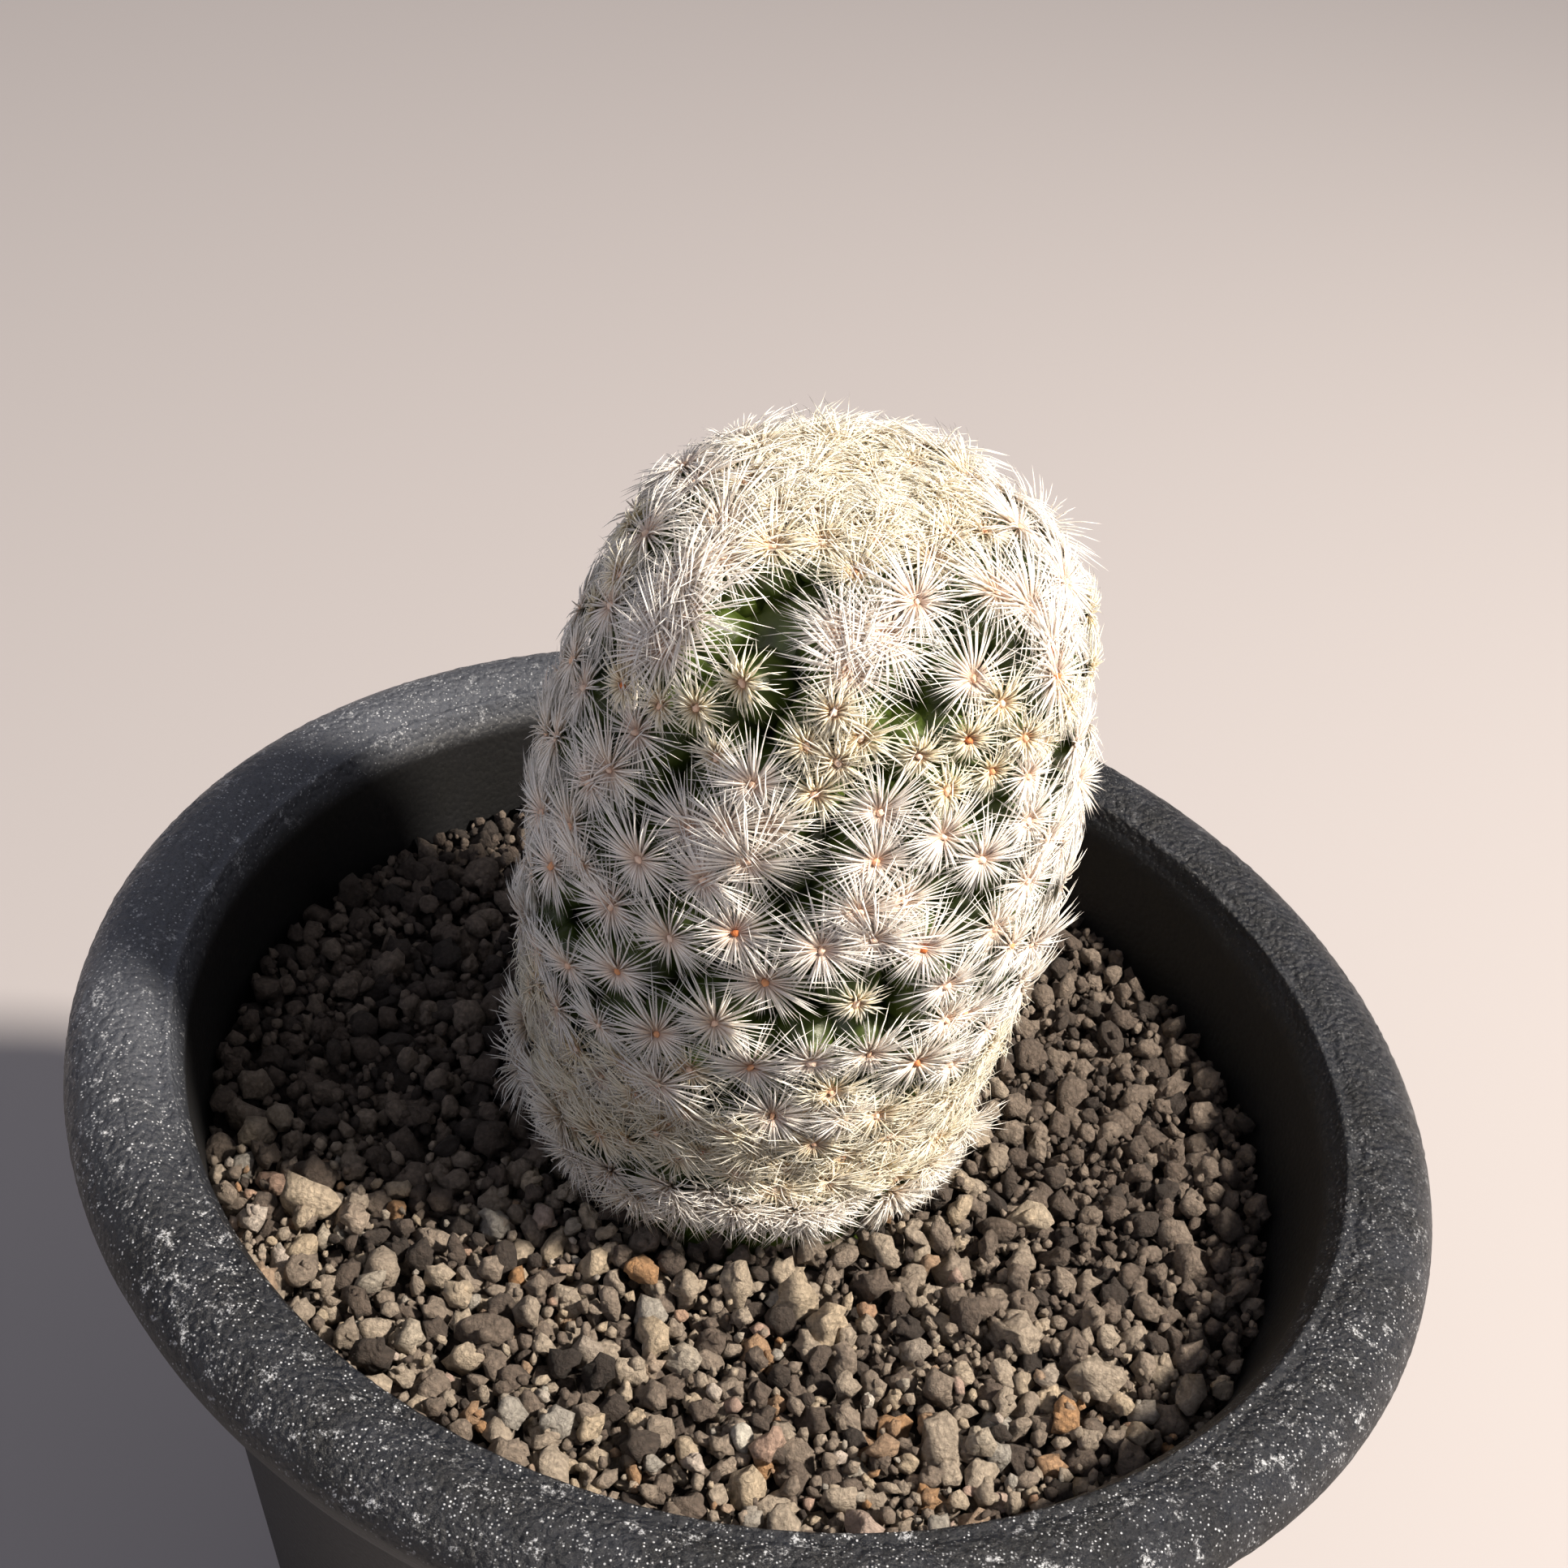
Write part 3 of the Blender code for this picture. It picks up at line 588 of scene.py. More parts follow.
def make_pot(plastic):
    shell = turn_outline("pot_shell", pot_outline(), POT_SEGMENTS)
    roughen_lip(shell)
    for piece in (shell, make_pot_floor()):
        piece.data.materials.append(plastic)
        place_piece(piece, "pot", "pot")


# Geometry Nodes

def new_tree(name, sizes):
    """A tree with named sizes, what adds its nodes, and the sizes that it is given."""
    tree = bpy.data.node_groups.new(name, "GeometryNodeTree")
    tree.interface.new_socket(name="Geometry", in_out="OUTPUT", socket_type="NodeSocketGeometry")
    for given, kind in {"Geometry": "Geometry", "Material": "Material", **sizes}.items():
        tree.interface.new_socket(name=given, in_out="INPUT", socket_type="NodeSocket" + kind)
    return tree, partial(add_node, tree), tree.nodes.new("NodeGroupInput").outputs


def finish_tree(add, given, geometry):
    """Ends a tree: smooth shading, the material, and the way out."""
    smooth = add("GeometryNodeSetShadeSmooth", geometry)
    add("NodeGroupOutput", add("GeometryNodeSetMaterial", smooth, inputs={"Material": given["Material"]}))


def grow(name, tree, places, attributes, values):
    """Runs a tree on a cloud of points and keeps the result as a plain mesh piece."""
    cloud = bpy.data.meshes.new(name + "_places")
    cloud.from_pydata([tuple(p) for p in places], [], [])
    for key, data in attributes.items():
        kind = "FLOAT_VECTOR" if data.ndim == 2 else "INT" if data.dtype.kind == "i" else "FLOAT"
        made = cloud.attributes.new(key, kind, "POINT")
        flat = data.astype(np.int32 if kind == "INT" else np.float32).ravel()
        made.data.foreach_set("vector" if kind == "FLOAT_VECTOR" else "value", flat)
    source = new_object(name + "_places", cloud)
    modifier = source.modifiers.new("grow", "NODES")
    modifier.node_group = tree
    sockets = {s.name: s.identifier for s in tree.interface.items_tree if s.in_out == "INPUT"}
    for key, value in values.items():
        modifier[sockets[key]] = value
    mesh = plain_mesh(source)
    mesh.name = name
    bpy.data.objects.remove(source, do_unlink=True)
    return new_object(name, mesh)


def squeezed(add, geometry, factor):
    """Narrows a shape that stands on its foot, by a factor of its height."""
    x, y, z = add("split", add("GeometryNodeInputPosition")).node.outputs
    narrow = add("join", add("MULTIPLY", x, factor), add("MULTIPLY", y, factor), z)
    return add("set position", geometry, inputs={"Position": narrow})


def needle(add, segments):
    """A three-sided needle, one long and one in radius, with its own length stored along it."""
    cone = add("GeometryNodeMeshCone", fill_type="NGON", inputs={
        "Vertices": 3, "Side Segments": segments, "Radius Top": 0.0, "Radius Bottom": 1.0, "Depth": 1.0,
    })
    height = add("split", add("GeometryNodeInputPosition")).node.outputs["Z"]
    marked = add("store number", cone, inputs={"Name": "along", "Value": height})
    return squeezed(add, marked, add("MULTIPLY_ADD", height, 0.9, 1.0))


def spine_heading(add, index, share, turn_chance, rise_chance):
    """Which way each spine heads: round its star by the golden angle, inner ones steeper."""
    turn = add("ADD", add("MULTIPLY", index, GOLDEN_ANGLE), turn_chance)
    axis = add("read vector", "axis")
    side = add("read vector", "side")
    upness = add("SINE", turn)
    kept_up = add("SUBTRACT", 1.0, add("read number", "comb"))
    sideways = add("scale", side, add("COSINE", turn))
    upwards = add("scale", add("cross", side, axis), add("MULTIPLY", upness, kept_up))
    spoke = add("normalize", add("add vectors", sideways, upwards))
    steeper = add("POWER", share, 1.6)
    rise = add("MULTIPLY_ADD", steeper, add("read number", "spread"), add("read number", "rise"))
    rise = add("ADD", rise, add("MULTIPLY", upness, add("read number", "lift")))
    rise = add("ADD", rise, rise_chance)
    outward = add("scale", spoke, add("COSINE", rise))
    heading = add("add vectors", outward, add("scale", axis, add("SINE", rise)))
    return heading, spoke, upness, rise


def spine_size(add, given, share, upness, length_chance, width_chance):
    """How long and thick each spine is: upper ones longer, inner ones shorter."""
    length = add("MULTIPLY", add("read number", "reach"), length_chance)
    length = add("MULTIPLY", length, add("MULTIPLY_ADD", upness, given["Upper lengthening"], 1.0))
    shorter = add("MULTIPLY", add("POWER", share, 2.0), given["Inner shortening"])
    length = add("MULTIPLY", length, add("SUBTRACT", 1.0, shorter))
    half = add("MULTIPLY", given["Thickness"], width_chance)
    return length, add("MULTIPLY", half, add("read number", "thick"))


def spine_bend(add, given, spoke, rise, length, chances):
    """How each spine bends: back to the stem, aside and down, and in a small wave."""
    curl_chance, sway_chance, wave_across, wave_along = chances
    axis = add("read vector", "axis")
    across = add("cross", axis, spoke)
    curl = add("MULTIPLY", add("read number", "curl"), curl_chance)
    curl = add("MULTIPLY_ADD", add("SINE", rise), given["Press"], curl)
    sway = add("MULTIPLY", add("read number", "sway"), sway_chance)
    back = add("scale", axis, add("MULTIPLY", curl, -1.0))
    bend = add("add vectors", back, add("scale", across, sway))
    bend = add("add vectors", bend, add("scale", (0.0, 0.0, -1.0), add("read number", "droop")))
    ripple = add("add vectors", add("scale", across, wave_across), add("scale", axis, wave_along))
    ripple = add("scale", ripple, add("MULTIPLY", add("read number", "wave"), length))
    return add("scale", bend, length), ripple


def bent_spines(add, spines):
    """Moves each spine's points by its bend and its wave, more towards its tip."""
    along = add("read number", "along")
    swing = add("SINE", add("MULTIPLY_ADD", along, 6.0, add("read number", "phase")))
    swing = add("MULTIPLY", swing, along)
    bent = add("scale", add("read vector", "bend"), add("POWER", along, 2.0))
    waved = add("scale", add("read vector", "ripple"), swing)
    return add("set position", spines, inputs={"Offset": add("add vectors", bent, waved)})


def spine_tree():
    """Stars of spines on the tubercles' tips."""
    tree, add, given = new_tree("spine_stars", {
        "Thickness": "Float", "Length scatter": "Float", "Foot ring": "Float", "Upper lengthening": "Float",
        "Inner shortening": "Float", "Press": "Float", "Segments": "Int", "Seed": "Int",
    })
    amount = add("read number", "spines", data_type="INT")
    copies, index = add("GeometryNodeDuplicateElements", given["Geometry"], domain="POINT", inputs={
        "Amount": amount,
    }).node.outputs
    share = add("DIVIDE", index, amount)

    # Each spine's own chances: turn, lift, length, width, curl, sway, two ways of waving, and phase
    shortest = add("SUBTRACT", 1.0, given["Length scatter"])
    ranges = [(-0.08, 0.08), (-0.10, 0.10), (shortest, 1.06), (0.42, 0.60), (0.1, 1.5), (-1.0, 1.0),
              (-1.0, 1.0), (-1.0, 1.0), (0.0, 3.14)]
    turn, lift, longer, wider, *bends, phase = [
        add("random", low, high, inputs={"Seed": add("ADD", given["Seed"], number)})
        for number, (low, high) in enumerate(ranges, 1)
    ]

    heading, spoke, upness, rise = spine_heading(add, index, share, turn, lift)
    length, half = spine_size(add, given, share, upness, longer, wider)
    bend, ripple = spine_bend(add, given, spoke, rise, length, bends)
    points = add("store vector", copies, inputs={"Name": "bend", "Value": bend})
    points = add("store vector", points, inputs={"Name": "ripple", "Value": ripple})
    points = add("store number", points, inputs={"Name": "phase", "Value": phase})
    points = add("set position", points, inputs={"Offset": add("scale", spoke, given["Foot ring"])})
    placed = add("place on points", points, inputs={
        "Instance": needle(add, given["Segments"]),
        "Rotation": add("turn to", inputs={"Vector": heading}),
        "Scale": add("join", half, half, length),
    })
    finish_tree(add, given, bent_spines(add, add("GeometryNodeRealizeInstances", placed)))
    return tree


def tubercle_tree():
    """Waxy cones that stand out from the stem's core."""
    tree, add, given = new_tree("tubercles", {"Sides": "Int", "Tip width": "Float"})
    cone = add("GeometryNodeMeshCone", fill_type="TRIANGLE_FAN", inputs={
        "Vertices": given["Sides"], "Side Segments": 3, "Radius Top": given["Tip width"],
        "Radius Bottom": 1.0, "Depth": 1.0,
    })
    height = add("split", add("GeometryNodeInputPosition")).node.outputs["Z"]
    shaped = squeezed(add, cone, add("SUBTRACT", 1.16, add("POWER", height, 4.0)))
    lift = add("read vector", "lift")
    girth = add("read number", "girth")
    tall = add("ShaderNodeVectorMath", lift, operation="LENGTH")
    placed = add("place on points", given["Geometry"], inputs={
        "Instance": shaped,
        "Rotation": add("turn to", inputs={"Vector": lift}),
        "Scale": add("join", girth, girth, tall),
    })
    finish_tree(add, given, add("GeometryNodeRealizeInstances", placed))
    return tree


def lump_tree(name):
    """Small blocky lumps, each of its own shape, stretched and turned at random."""
    tree, add, given = new_tree(name, {
        "Roundness steps": "Int", "Knobs": "Float", "Knobs across": "Float", "Seed": "Int",
    })
    ball = add("GeometryNodeMeshIcoSphere", 0.5, given["Roundness steps"])
    spot = add("GeometryNodeInputPosition")
    marked = add("store vector", ball, inputs={"Name": "spot", "Value": spot})
    own = add("random", (0.0,) * 3, (90.0,) * 3, data_type="FLOAT_VECTOR", inputs={"Seed": given["Seed"]})
    points = add("store vector", given["Geometry"], inputs={"Name": "own", "Value": own})
    size = add("read number", "size")
    stretch = [
        add("MULTIPLY", size, add("random", low, high, inputs={"Seed": add("ADD", given["Seed"], number)}))
        for number, (low, high) in enumerate([(0.95, 1.5), (0.7, 1.05), (0.65, 1.0)], 1)
    ]
    placed = add("place on points", points, inputs={
        "Instance": marked, "Rotation": add("scale", add("read vector", "own"), 0.07),
        "Scale": add("join", *stretch),
    })
    real = add("GeometryNodeRealizeInstances", placed)
    spot = add("scale", add("read vector", "spot"), given["Knobs across"])
    spot = add("add vectors", spot, add("read vector", "own"))
    wave = add("noise", spot, 1.0, 1.5, 0.5)
    swing = add("MULTIPLY", add("SUBTRACT", wave, 0.5), size)
    amount = add("MULTIPLY", swing, given["Knobs"])
    push = add("scale", add("GeometryNodeInputNormal"), amount)
    finish_tree(add, given, add("set position", real, inputs={"Offset": push}))
    return tree


# Granular mix

class Heap:
    """The mix's rising surface on a square grid of heights."""

    def __init__(self):
        self.reach = body_radius(SOIL_HEIGHT) - WALL
        cells = int(2 * self.reach / HEAP_CELL) + 3
        self.top = np.full((cells, cells), SOIL_HEIGHT - GRAIN_LAYER)

    def span(self, middle, half):
        """The cells from one side of a grain to the other, and how far each lies from its middle."""
        first = int((middle - half + self.reach) / HEAP_CELL)
        last = int((middle + half + self.reach) / HEAP_CELL) + 1
        return slice(first, last), np.arange(first, last) * HEAP_CELL - self.reach - middle

    def patch(self, x, y, half):
        """The cells under a grain, how high it bulges over each, and which of them it covers."""
        columns, from_x = self.span(x, half)
        rows, from_y = self.span(y, half)
        gap = half * half - from_x[:, None]**2 - from_y[None, :]**2
        return (columns, rows), np.sqrt(np.maximum(gap, 0.0)), gap > 0.0

    def resting_height(self, x, y, half):
        """How high a grain's middle comes to lie, or None where it would hang over the edge."""
        cells, bulge, inside = self.patch(x, y, half)
        under = self.top[cells]
        if under.shape != inside.shape or not inside.any():
            return None
        return float(np.quantile((under + bulge)[inside], REST_SHARE))

    def add(self, x, y, height, half):
        cells, bulge, inside = self.patch(x, y, half)
        self.top[cells] = np.where(inside, np.maximum(self.top[cells], height + bulge), self.top[cells])

    def depths(self, rows):
        """How far each grain's top lies under the finished surface."""
        cell = ((rows[:, :2] + self.reach) / HEAP_CELL).astype(int)
        return self.top[cell[:, 0], cell[:, 1]] - rows[:, 2] - 0.5 * rows[:, 3]


def lowest_spot(heap, rng, half):
    """The lowest of a few random spots for a grain, a little higher near the stem."""
    best = None
    for _ in range(SPOT_TRIES):
        radius = (heap.reach - half * 0.9) * math.sqrt(rng.uniform(0.08, 1.0))
        angle = rng.uniform(0.0, 2.0 * math.pi)
        x = radius * math.cos(angle)
        y = radius * math.sin(angle)
        from_stem = math.hypot(x - STEM_PLACE.x, y - STEM_PLACE.y) - STEM_CLEARANCE
        height = heap.resting_height(x, y, half)
        if from_stem < 0.0 or height is None:
            continue
        level = height - STEM_MOUND * max(0.0, 1.0 - from_stem / MOUND_REACH)
        if best is None or level < best[0]:
            best = (level, x, y, height)
    return best


def heap_grains(rng):
    """Drops grains one by one into the heap, large ones first, then sets the seen stones on top."""
    heap = Heap()
    rows = []
    grains = mix(*GRAIN_SIZES, rng.beta(1.2, 3.2, GRAIN_COUNT))
    chips = rng.uniform(*CHIP_SIZES, CHIP_COUNT)
    for size in np.concatenate([grains, chips]):
        best = lowest_spot(heap, rng, 0.5 * size)
        if best is None or best[0] > GRAIN_TOP:
            continue
        _, x, y, height = best
        heap.add(x, y, height, 0.5 * size)
        rows.append((x, y, height, size, rng.uniform(0.0, 1.0)))
    for x, y, size, tone in np.array(SEEN_STONES) * (MM, MM, MM, 1.0):
        height = heap.resting_height(x, y, 0.5 * size) - STONE_SINK * size
        rows.append((x, y, height, size, tone))
    rows = np.array(rows)
    depth = heap.depths(rows)
    depth[-len(SEEN_STONES):] = 0.0
    return rows[:, :3], rows[:, 3], rows[:, 4], depth


def add_crumbs(rng, places, sizes, tones):
    """Small lumps stuck on the grains that show, each with its grain's tone."""
    spots, widths, shades = [], [], []
    for place, size, tone in zip(places, sizes, tones):
        for _ in range(int(rng.integers(0, 3))):
            way = unit(rng.normal(0.0, 1.0, 3) + np.array([0.0, -0.2, 0.6]))
            spots.append(place + way * size * rng.uniform(0.30, 0.44))
            widths.append(size * rng.uniform(0.34, 0.60))
            shades.append(np.clip(tone + rng.normal(0.0, 0.012), 0.0, 1.0))
    return np.array(spots), np.array(widths), np.array(shades)


def shade_and_darker_share(places):
    """Where the mix is painted darker behind the stem: on the left as the stem's painted shadow, on the
    right towards the back.
    """
    x, y = places[:, 0], places[:, 1]
    right = smoothstep((x - 10.0 * MM) / (14.0 * MM)) * smoothstep((y + 22.0 * MM) / (20.0 * MM))
    left = smoothstep((-9.0 * MM - x) / (8.0 * MM)) * smoothstep((y + 14.0 * MM) / (8.0 * MM))
    return right + left


def make_soil_bed(granules):
    """The bed that the grains lie in, down to the pot's floor, painted dark as the shade deep in the gaps.
    """
    top = SOIL_HEIGHT - GRAIN_LAYER + 0.6 * MM
    bottom = FOOT_RECESS + FLOOR + 0.4 * MM
    outline = [
        (0.4 * MM, top), (body_radius(top) - WALL - 0.2 * MM, top),
        (body_radius(bottom) - WALL - 1.2 * MM, bottom), (0.4 * MM, bottom),
    ]
    bed = turn_outline("soil_bed", outline, 96)
    tone = bed.data.attributes.new("tone", "FLOAT", "POINT")
    tone.data.foreach_set("value", [BED_SHADE_TONE] * len(bed.data.vertices))
    bed.data.materials.append(granules)
    place_piece(bed, "soil", "soil")


def make_soil(granules):
    rng = np.random.default_rng(SEED)
    places, sizes, tones, depth = heap_grains(rng)
    random_ones = np.arange(len(sizes)) < len(sizes) - len(SEEN_STONES)
    # Painted shade: grains darker behind the stem, the stem's painted shadow on the left
    darker = np.where(random_ones, BEHIND_STEM_DARKENING * shade_and_darker_share(places), 0.0)
    # Painted shade in the gaps: grains darker the deeper they lie under the surface
    painted_gap_shade = 0.8 * smoothstep((depth - 0.3 * MM) / (1.2 * MM))
    tones = tones * (1.0 - darker) * (1.0 - painted_gap_shade)
    showing = (sizes > ROUNDER_FROM) & (depth < 0.5 * MM)
    tree = lump_tree("grain_lumps")
    batches = {
        "grains": (2, places[showing], sizes[showing], tones[showing]),
        "crumbs": (1, *add_crumbs(rng, places[showing], sizes[showing], tones[showing])),
        "chips": (1, places[~showing], sizes[~showing], tones[~showing]),
    }
    for number, (name, (steps, spots, widths, shades)) in enumerate(batches.items()):
        piece = grow(name, tree, spots, {"size": widths, "tone": shades}, {
            "Material": granules, "Roundness steps": steps, "Knobs": KNOBS, "Knobs across": KNOBS_ACROSS,
            "Seed": SEED + number,
        })
        place_piece(piece, "soil", "soil")
    make_soil_bed(granules)


# Stem

def smooth_outline(points, steps=12):
    """A smooth curve through the outline's points, from the crown down."""
    knots = [np.array(p) * MM for p in [(-points[-2][0], points[-2][1])] + points[::-1] + [points[0]]]
    curve = []
    for a, b, c, d in zip(knots, knots[1:], knots[2:], knots[3:]):
        for t in np.linspace(0.0, 1.0, steps, endpoint=False):
            bend = 2 * b + (c - a) * t + (2 * a - 5 * b + 4 * c - d) * t**2 + (3 * b - a - 3 * c + d) * t**3
            curve.append(0.5 * bend)
    curve.append(knots[-2])
    return np.array(curve)


class StemSurface:
    """The round surface through the spine clusters, measured along its outline from the crown."""

    def __init__(self):
        curve = smooth_outline(STEM_OUTLINE_MM)
        self.radius = np.maximum(curve[:, 0], 1e-6)
        self.height = curve[:, 1]
        step = np.hypot(np.diff(self.radius), np.diff(self.height))
        self.along = np.concatenate([[0.0], np.cumsum(step)])
        middle_radius = 0.5 * (self.radius[1:] + self.radius[:-1])
        middle_along = 0.5 * (self.along[1:] + self.along[:-1])
        per_step = 2.0 * math.pi * middle_radius * step / (AREA_SHARE * self.spacing(middle_along)**2)
        self.count = np.concatenate([[0.0], np.cumsum(per_step)])

    def spacing(self, along):
        """How far apart clusters stand: close on the crown, and in the mat near the mix."""
        crowded = 1.0 - MAT_CROWDING * smoothstep((along - MAT_FROM) / (6.0 * MM))
        return mix(*CLUSTER_SPACING, smoothstep(along / CROWN_REACH)) * crowded

    def radii(self, along):
        return np.interp(along, self.along, self.radius)

    def heights(self, along):
        return np.interp(along, self.along, self.height)

    def points(self, along, angle, inset=0.0):
        """Places on the surface, or that far inside it."""
        height = self.heights(along)
        lean = STEM_LEAN * smoothstep((height - LEAN_FROM) / LEAN_OVER)
        place = np.stack([
            STEM_PLACE.x + lean + self.radii(along) * np.cos(angle),
            STEM_PLACE.y + self.radii(along) * np.sin(angle),
            SOIL_HEIGHT + height,
        ], axis=-1)
        return place - self.normals(along, angle) * np.asarray(inset)[..., None]

    def normals(self, along, angle):
        reach = 0.4 * MM
        above = np.maximum(along - reach, 0.0)
        below = np.minimum(along + reach, self.along[-1])
        run = self.radii(below) - self.radii(above)
        fall = self.heights(above) - self.heights(below)
        return unit(np.stack([fall * np.cos(angle), fall * np.sin(angle), run + 0.0 * angle], axis=-1))

    def at_height(self, height):
        return float(np.interp(-height, -self.height, self.along))

    def lattice(self):
        """Clusters on a golden-angle spiral, each with its share of the surface."""
        lowest = np.interp(self.at_height(LOWEST_CLUSTER), self.along, self.count)
        order = np.arange(int(lowest))
        return np.interp(order + 0.5, self.count, self.along), order * GOLDEN_ANGLE


def wrapped(angle):
    return (angle + math.pi) % (2.0 * math.pi) - math.pi


def seen_places():
    """Angles round the stem and ways from its crown of the clusters seen in front."""
    turn, way = np.array([place for rows in SEEN_STARS.values() for place in rows]).T
    return np.radians(turn - 90.0), way * MM


def spiral_places(surface, rng):
    """The spiral's clusters, each a little off its place, the lowest at uneven heights."""
    along, angle = surface.lattice()
    spacing = surface.spacing(along)
    along = along + rng.normal(0.0, 0.12, len(along)) * spacing
    angle = angle + rng.normal(0.0, 0.15, len(along)) * spacing / np.maximum(surface.radii(along), 1.0 * MM)
    uneven = UNEVEN_BASE * ((0.618 * np.arange(len(along))) % 1.0)
    along = np.clip(along, 0.2 * MM, surface.at_height(LOWEST_CLUSTER - 0.6 * MM) - uneven)
    return along, angle, spacing


def room_kept(along, angle):
    """The room that each of the spiral's clusters leaves round the seen ones."""
    front = np.degrees(np.abs(wrapped(angle + 0.5 * math.pi)))
    in_window = (front < SEEN_TURN) & (along > SEEN_ALONG[0]) & (along < SEEN_ALONG[1])
    in_front = mix(*ROOM_IN_FRONT, smoothstep((along - 30.0 * MM) / (9.0 * MM)))
    room = np.where(in_window, in_front, ROOM_ELSEWHERE)
    return np.where(along > BASE_FROM, ROOM_AT_BASE, room)


def kinds_by_place(along, height, rng):
    """Which kind grows where: the crown, white stars with a band of small ones, the mat and its base."""
    in_band = np.abs(along - SMALL_BAND_MIDDLE) < SMALL_BAND_HALF
    kinds = np.full(len(along), "white", dtype=object)
    kinds[along < CROWN_UNTIL] = "crown"
    kinds[in_band & (rng.uniform(0.0, 1.0, len(along)) < 0.6)] = "small"
    kinds[height < MATTED_BELOW] = "matted"
    kinds[height < BASE_BELOW] = "base"
    return kinds


def arrange_clusters(surface, rng):
    """The clusters seen in front in their own places, and a spiral for all the others."""
    seen_kinds = [kind for kind, rows in SEEN_STARS.items() for _ in rows]
    seen_angle, seen_along = seen_places()
    along, angle, spacing = spiral_places(surface, rng)
    across = wrapped(angle[:, None] - seen_angle) * surface.radii(along)[:, None]
    nearest = np.hypot(across, along[:, None] - seen_along).min(axis=1)
    kept = nearest > room_kept(along, angle) * spacing
    kinds = kinds_by_place(along, surface.heights(along), rng)
    parts = (along, seen_along), (angle, seen_angle), (kinds, seen_kinds)
    return [np.concatenate([own[kept], seen]) for own, seen in parts]


class Clusters:
    """Where each spine cluster sits and how its spines grow."""

    def __init__(self, surface, rng):
        self.along, self.angle, self.kinds = arrange_clusters(surface, rng)
        count = len(self.along)
        self.spacing = surface.spacing(self.along)
        self.height = surface.heights(self.along)
        normal = surface.normals(self.along, self.angle)
        self.tip = surface.points(self.along, self.angle, np.abs(rng.normal(0.0, 0.3, count)) * MM)
        self.foot = surface.points(self.along, self.angle, 0.72 * self.spacing)
        self.foot[:, 2] -= 0.1 * self.spacing
        self.axis = unit(normal + rng.normal(0.0, 0.12, (count, 3)) + np.array([0.0, 0.0, AXIS_TILT]))
        self.side = unit(np.cross(self.axis, np.array([0.01, 0.01, 1.0])))
        for name, values in zip(LOOKS, np.array([STAR_LOOKS[kind] for kind in self.kinds]).T):
            setattr(self, name, values)
        in_crown = 1.0 - smoothstep(self.along / CROWN_UNTIL)
        self.reach *= mix(1.0, 0.52, in_crown) * rng.uniform(0.78, 1.08, count)
        self.reach *= mix(1.06, 0.88, smoothstep((self.along - 15.0 * MM) / (6.0 * MM)))
        self.spines *= mix(1.0, 0.75, in_crown)
        self.warm = np.clip(self.warm + rng.normal(0.0, 0.08, count), 0.0, 1.0)
        self.spines = np.round(self.spines * rng.uniform(0.88, 1.1, count)).astype(int)

    def pick(self, chosen):
        return {name: getattr(self, name)[chosen] for name in ["axis", "side"] + LOOKS}


def make_core(surface, skin):
    """The stem's body that the tubercles stand on, down into the mix."""
    alongs = np.linspace(0.05 * MM, surface.along[-1], 60)
    from_base = surface.along[-1] - alongs
    insets = 0.66 * surface.spacing(alongs) * smoothstep(from_base / (12.0 * MM)) + 0.7 * MM
    sides = 72
    angles = np.linspace(0.0, 2.0 * math.pi, sides, endpoint=False)
    rows = [
        surface.points(np.full(sides, along), angles, np.full(sides, inset))
        for along, inset in zip(alongs, insets)
    ]
    base = surface.points(np.full(sides, surface.along[-1]), angles, np.full(sides, 0.9 * MM))
    base[:, 2] = SOIL_HEIGHT - STEM_DEPTH
    rows.append(base)
    ends = [tuple(range(sides)), tuple(range((len(rows) - 1) * sides, len(rows) * sides))]
    core = mesh_object("stem_core", np.concatenate(rows), bands(len(rows), sides, closed=False) + ends)
    core.data.materials.append(skin)
    place_piece(core, "cactus", "cactus")


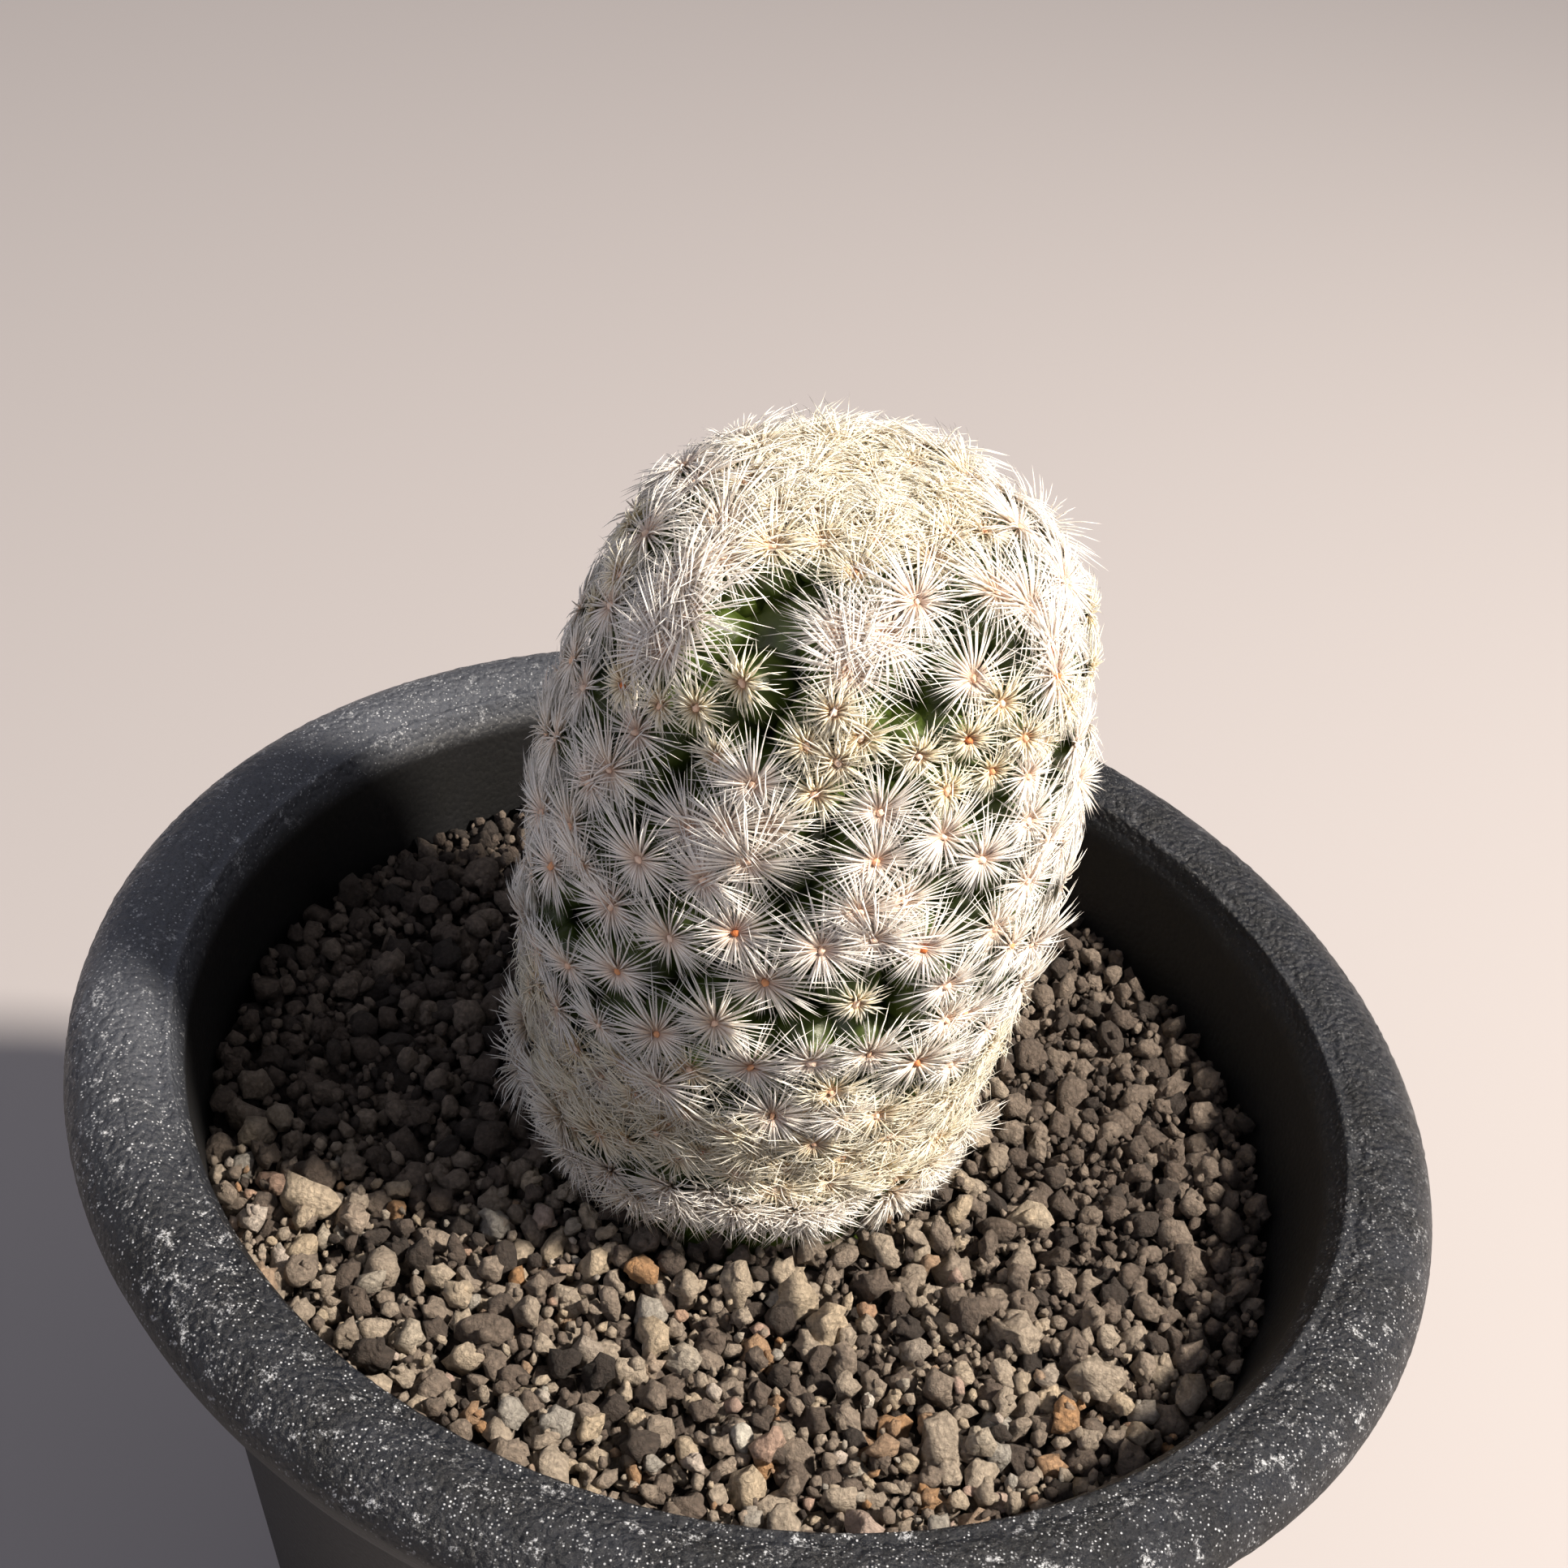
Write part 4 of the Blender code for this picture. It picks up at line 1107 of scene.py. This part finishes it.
def make_cactus(skin, felt, spine):
    rng = np.random.default_rng(SEED + 1)
    surface = StemSurface()
    clusters = Clusters(surface, rng)
    make_core(surface, skin)
    tubercles = grow("tubercles", tubercle_tree(), clusters.foot, {
        "lift": clusters.tip - clusters.foot, "girth": 0.44 * clusters.spacing,
    }, {"Material": skin, "Sides": 9, "Tip width": 0.42})
    place_piece(tubercles, "cactus", "cactus")
    areoles = grow("areoles", lump_tree("areole_lumps"), clusters.tip, {
        "size": 2.0 * AREOLE_RADIUS * mix(0.5, 1.0, clusters.spacing / CLUSTER_SPACING[1]),
        "tone": rng.uniform(0.0, 1.0, len(clusters.tip)),
    }, {"Material": felt, "Roundness steps": 1, "Knobs": 0.4, "Knobs across": KNOBS_ACROSS, "Seed": SEED})
    place_piece(areoles, "cactus", "cactus")

    tree = spine_tree()
    crown = clusters.kinds == "crown"
    white = clusters.kinds == "white"
    curly = ~crown & ~white
    high = clusters.height > HIGH_FROM
    low = clusters.height < LOW_UNTIL
    zones = {
        "spines_crown": crown,
        "spines_upper": white & high,
        "spines_middle": white & ~high,
        "spines_curly": curly & ~low,
        "spines_base": curly & low,
    }
    for number, (name, chosen) in enumerate(zones.items(), 1):
        piece = grow(name, tree, clusters.tip[chosen], clusters.pick(chosen), {
            "Material": spine, "Thickness": SPINE_THICKNESS, "Length scatter": LENGTH_SCATTER,
            "Foot ring": SPINE_FOOT_RING, "Upper lengthening": UPPER_LENGTHENING,
            "Inner shortening": INNER_SHORTENING, "Press": PRESS, "Segments": 3, "Seed": 100 * number,
        })
        place_piece(piece, "cactus", "cactus")


# Stage

def add_camera():
    camera = bpy.data.cameras.new("photo_camera")
    camera.sensor_fit = "HORIZONTAL"
    camera.sensor_width = SENSOR_WIDTH
    camera.lens = FOCAL_PX / PHOTO_PX * SENSOR_WIDTH
    camera.clip_start = 0.01
    obj = new_object("photo_camera", camera)
    forward = Vector((
        -math.sin(CAMERA_YAW) * math.cos(CAMERA_PITCH),
        math.cos(CAMERA_YAW) * math.cos(CAMERA_PITCH),
        math.sin(CAMERA_PITCH),
    ))
    level = forward.cross(Vector((0.0, 0.0, 1.0))).normalized()
    upright = level.cross(forward)
    right = level * math.cos(CAMERA_ROLL) + upright * math.sin(CAMERA_ROLL)
    up = right.cross(forward)
    turn = Matrix((right, up, -forward)).transposed()
    obj.matrix_world = Matrix.Translation(CAMERA_PLACE) @ turn.to_4x4()
    bpy.context.scene.camera = obj


def add_area_light(name, place, power, size, code):
    light = bpy.data.lights.new(name, "AREA")
    light.shape = "DISK"
    light.size = size
    light.energy = power
    light.color = linear(code)[:3]
    obj = new_object(name, light)
    obj.location = place
    aim = LIGHTS_AIM - Vector(place)
    obj.rotation_euler = aim.to_track_quat("-Z", "Y").to_euler()


def add_stage():
    corners = [(-2, -2, 0), (2, -2, 0), (2, 2, 0), (-2, 2, 0)]
    floor = mesh_object("floor", corners, [(0, 1, 2, 3)], smooth=False)
    floor.data.materials.append(pale_floor())
    world = bpy.data.worlds.new("studio")
    bpy.context.scene.world = world
    world.use_nodes = True
    sky = world.node_tree.nodes["Background"]
    sky.inputs["Color"].default_value = linear("#eae6ea")
    sky.inputs["Strength"].default_value = 0.32
    add_area_light("key", (0.52, -0.07, 0.68), 16.5, 0.08, "#fff2e0")
    add_area_light("fill", (-0.45, -0.45, 0.45), 0.6, 0.5, "#e6e8fa")
    bpy.context.scene.view_settings.view_transform = "Standard"


make_pot(moulded_pot_plastic())
make_soil(dry_granules())
make_cactus(waxy_green_skin(), areole_felt(), white_spine())
add_stage()
add_camera()
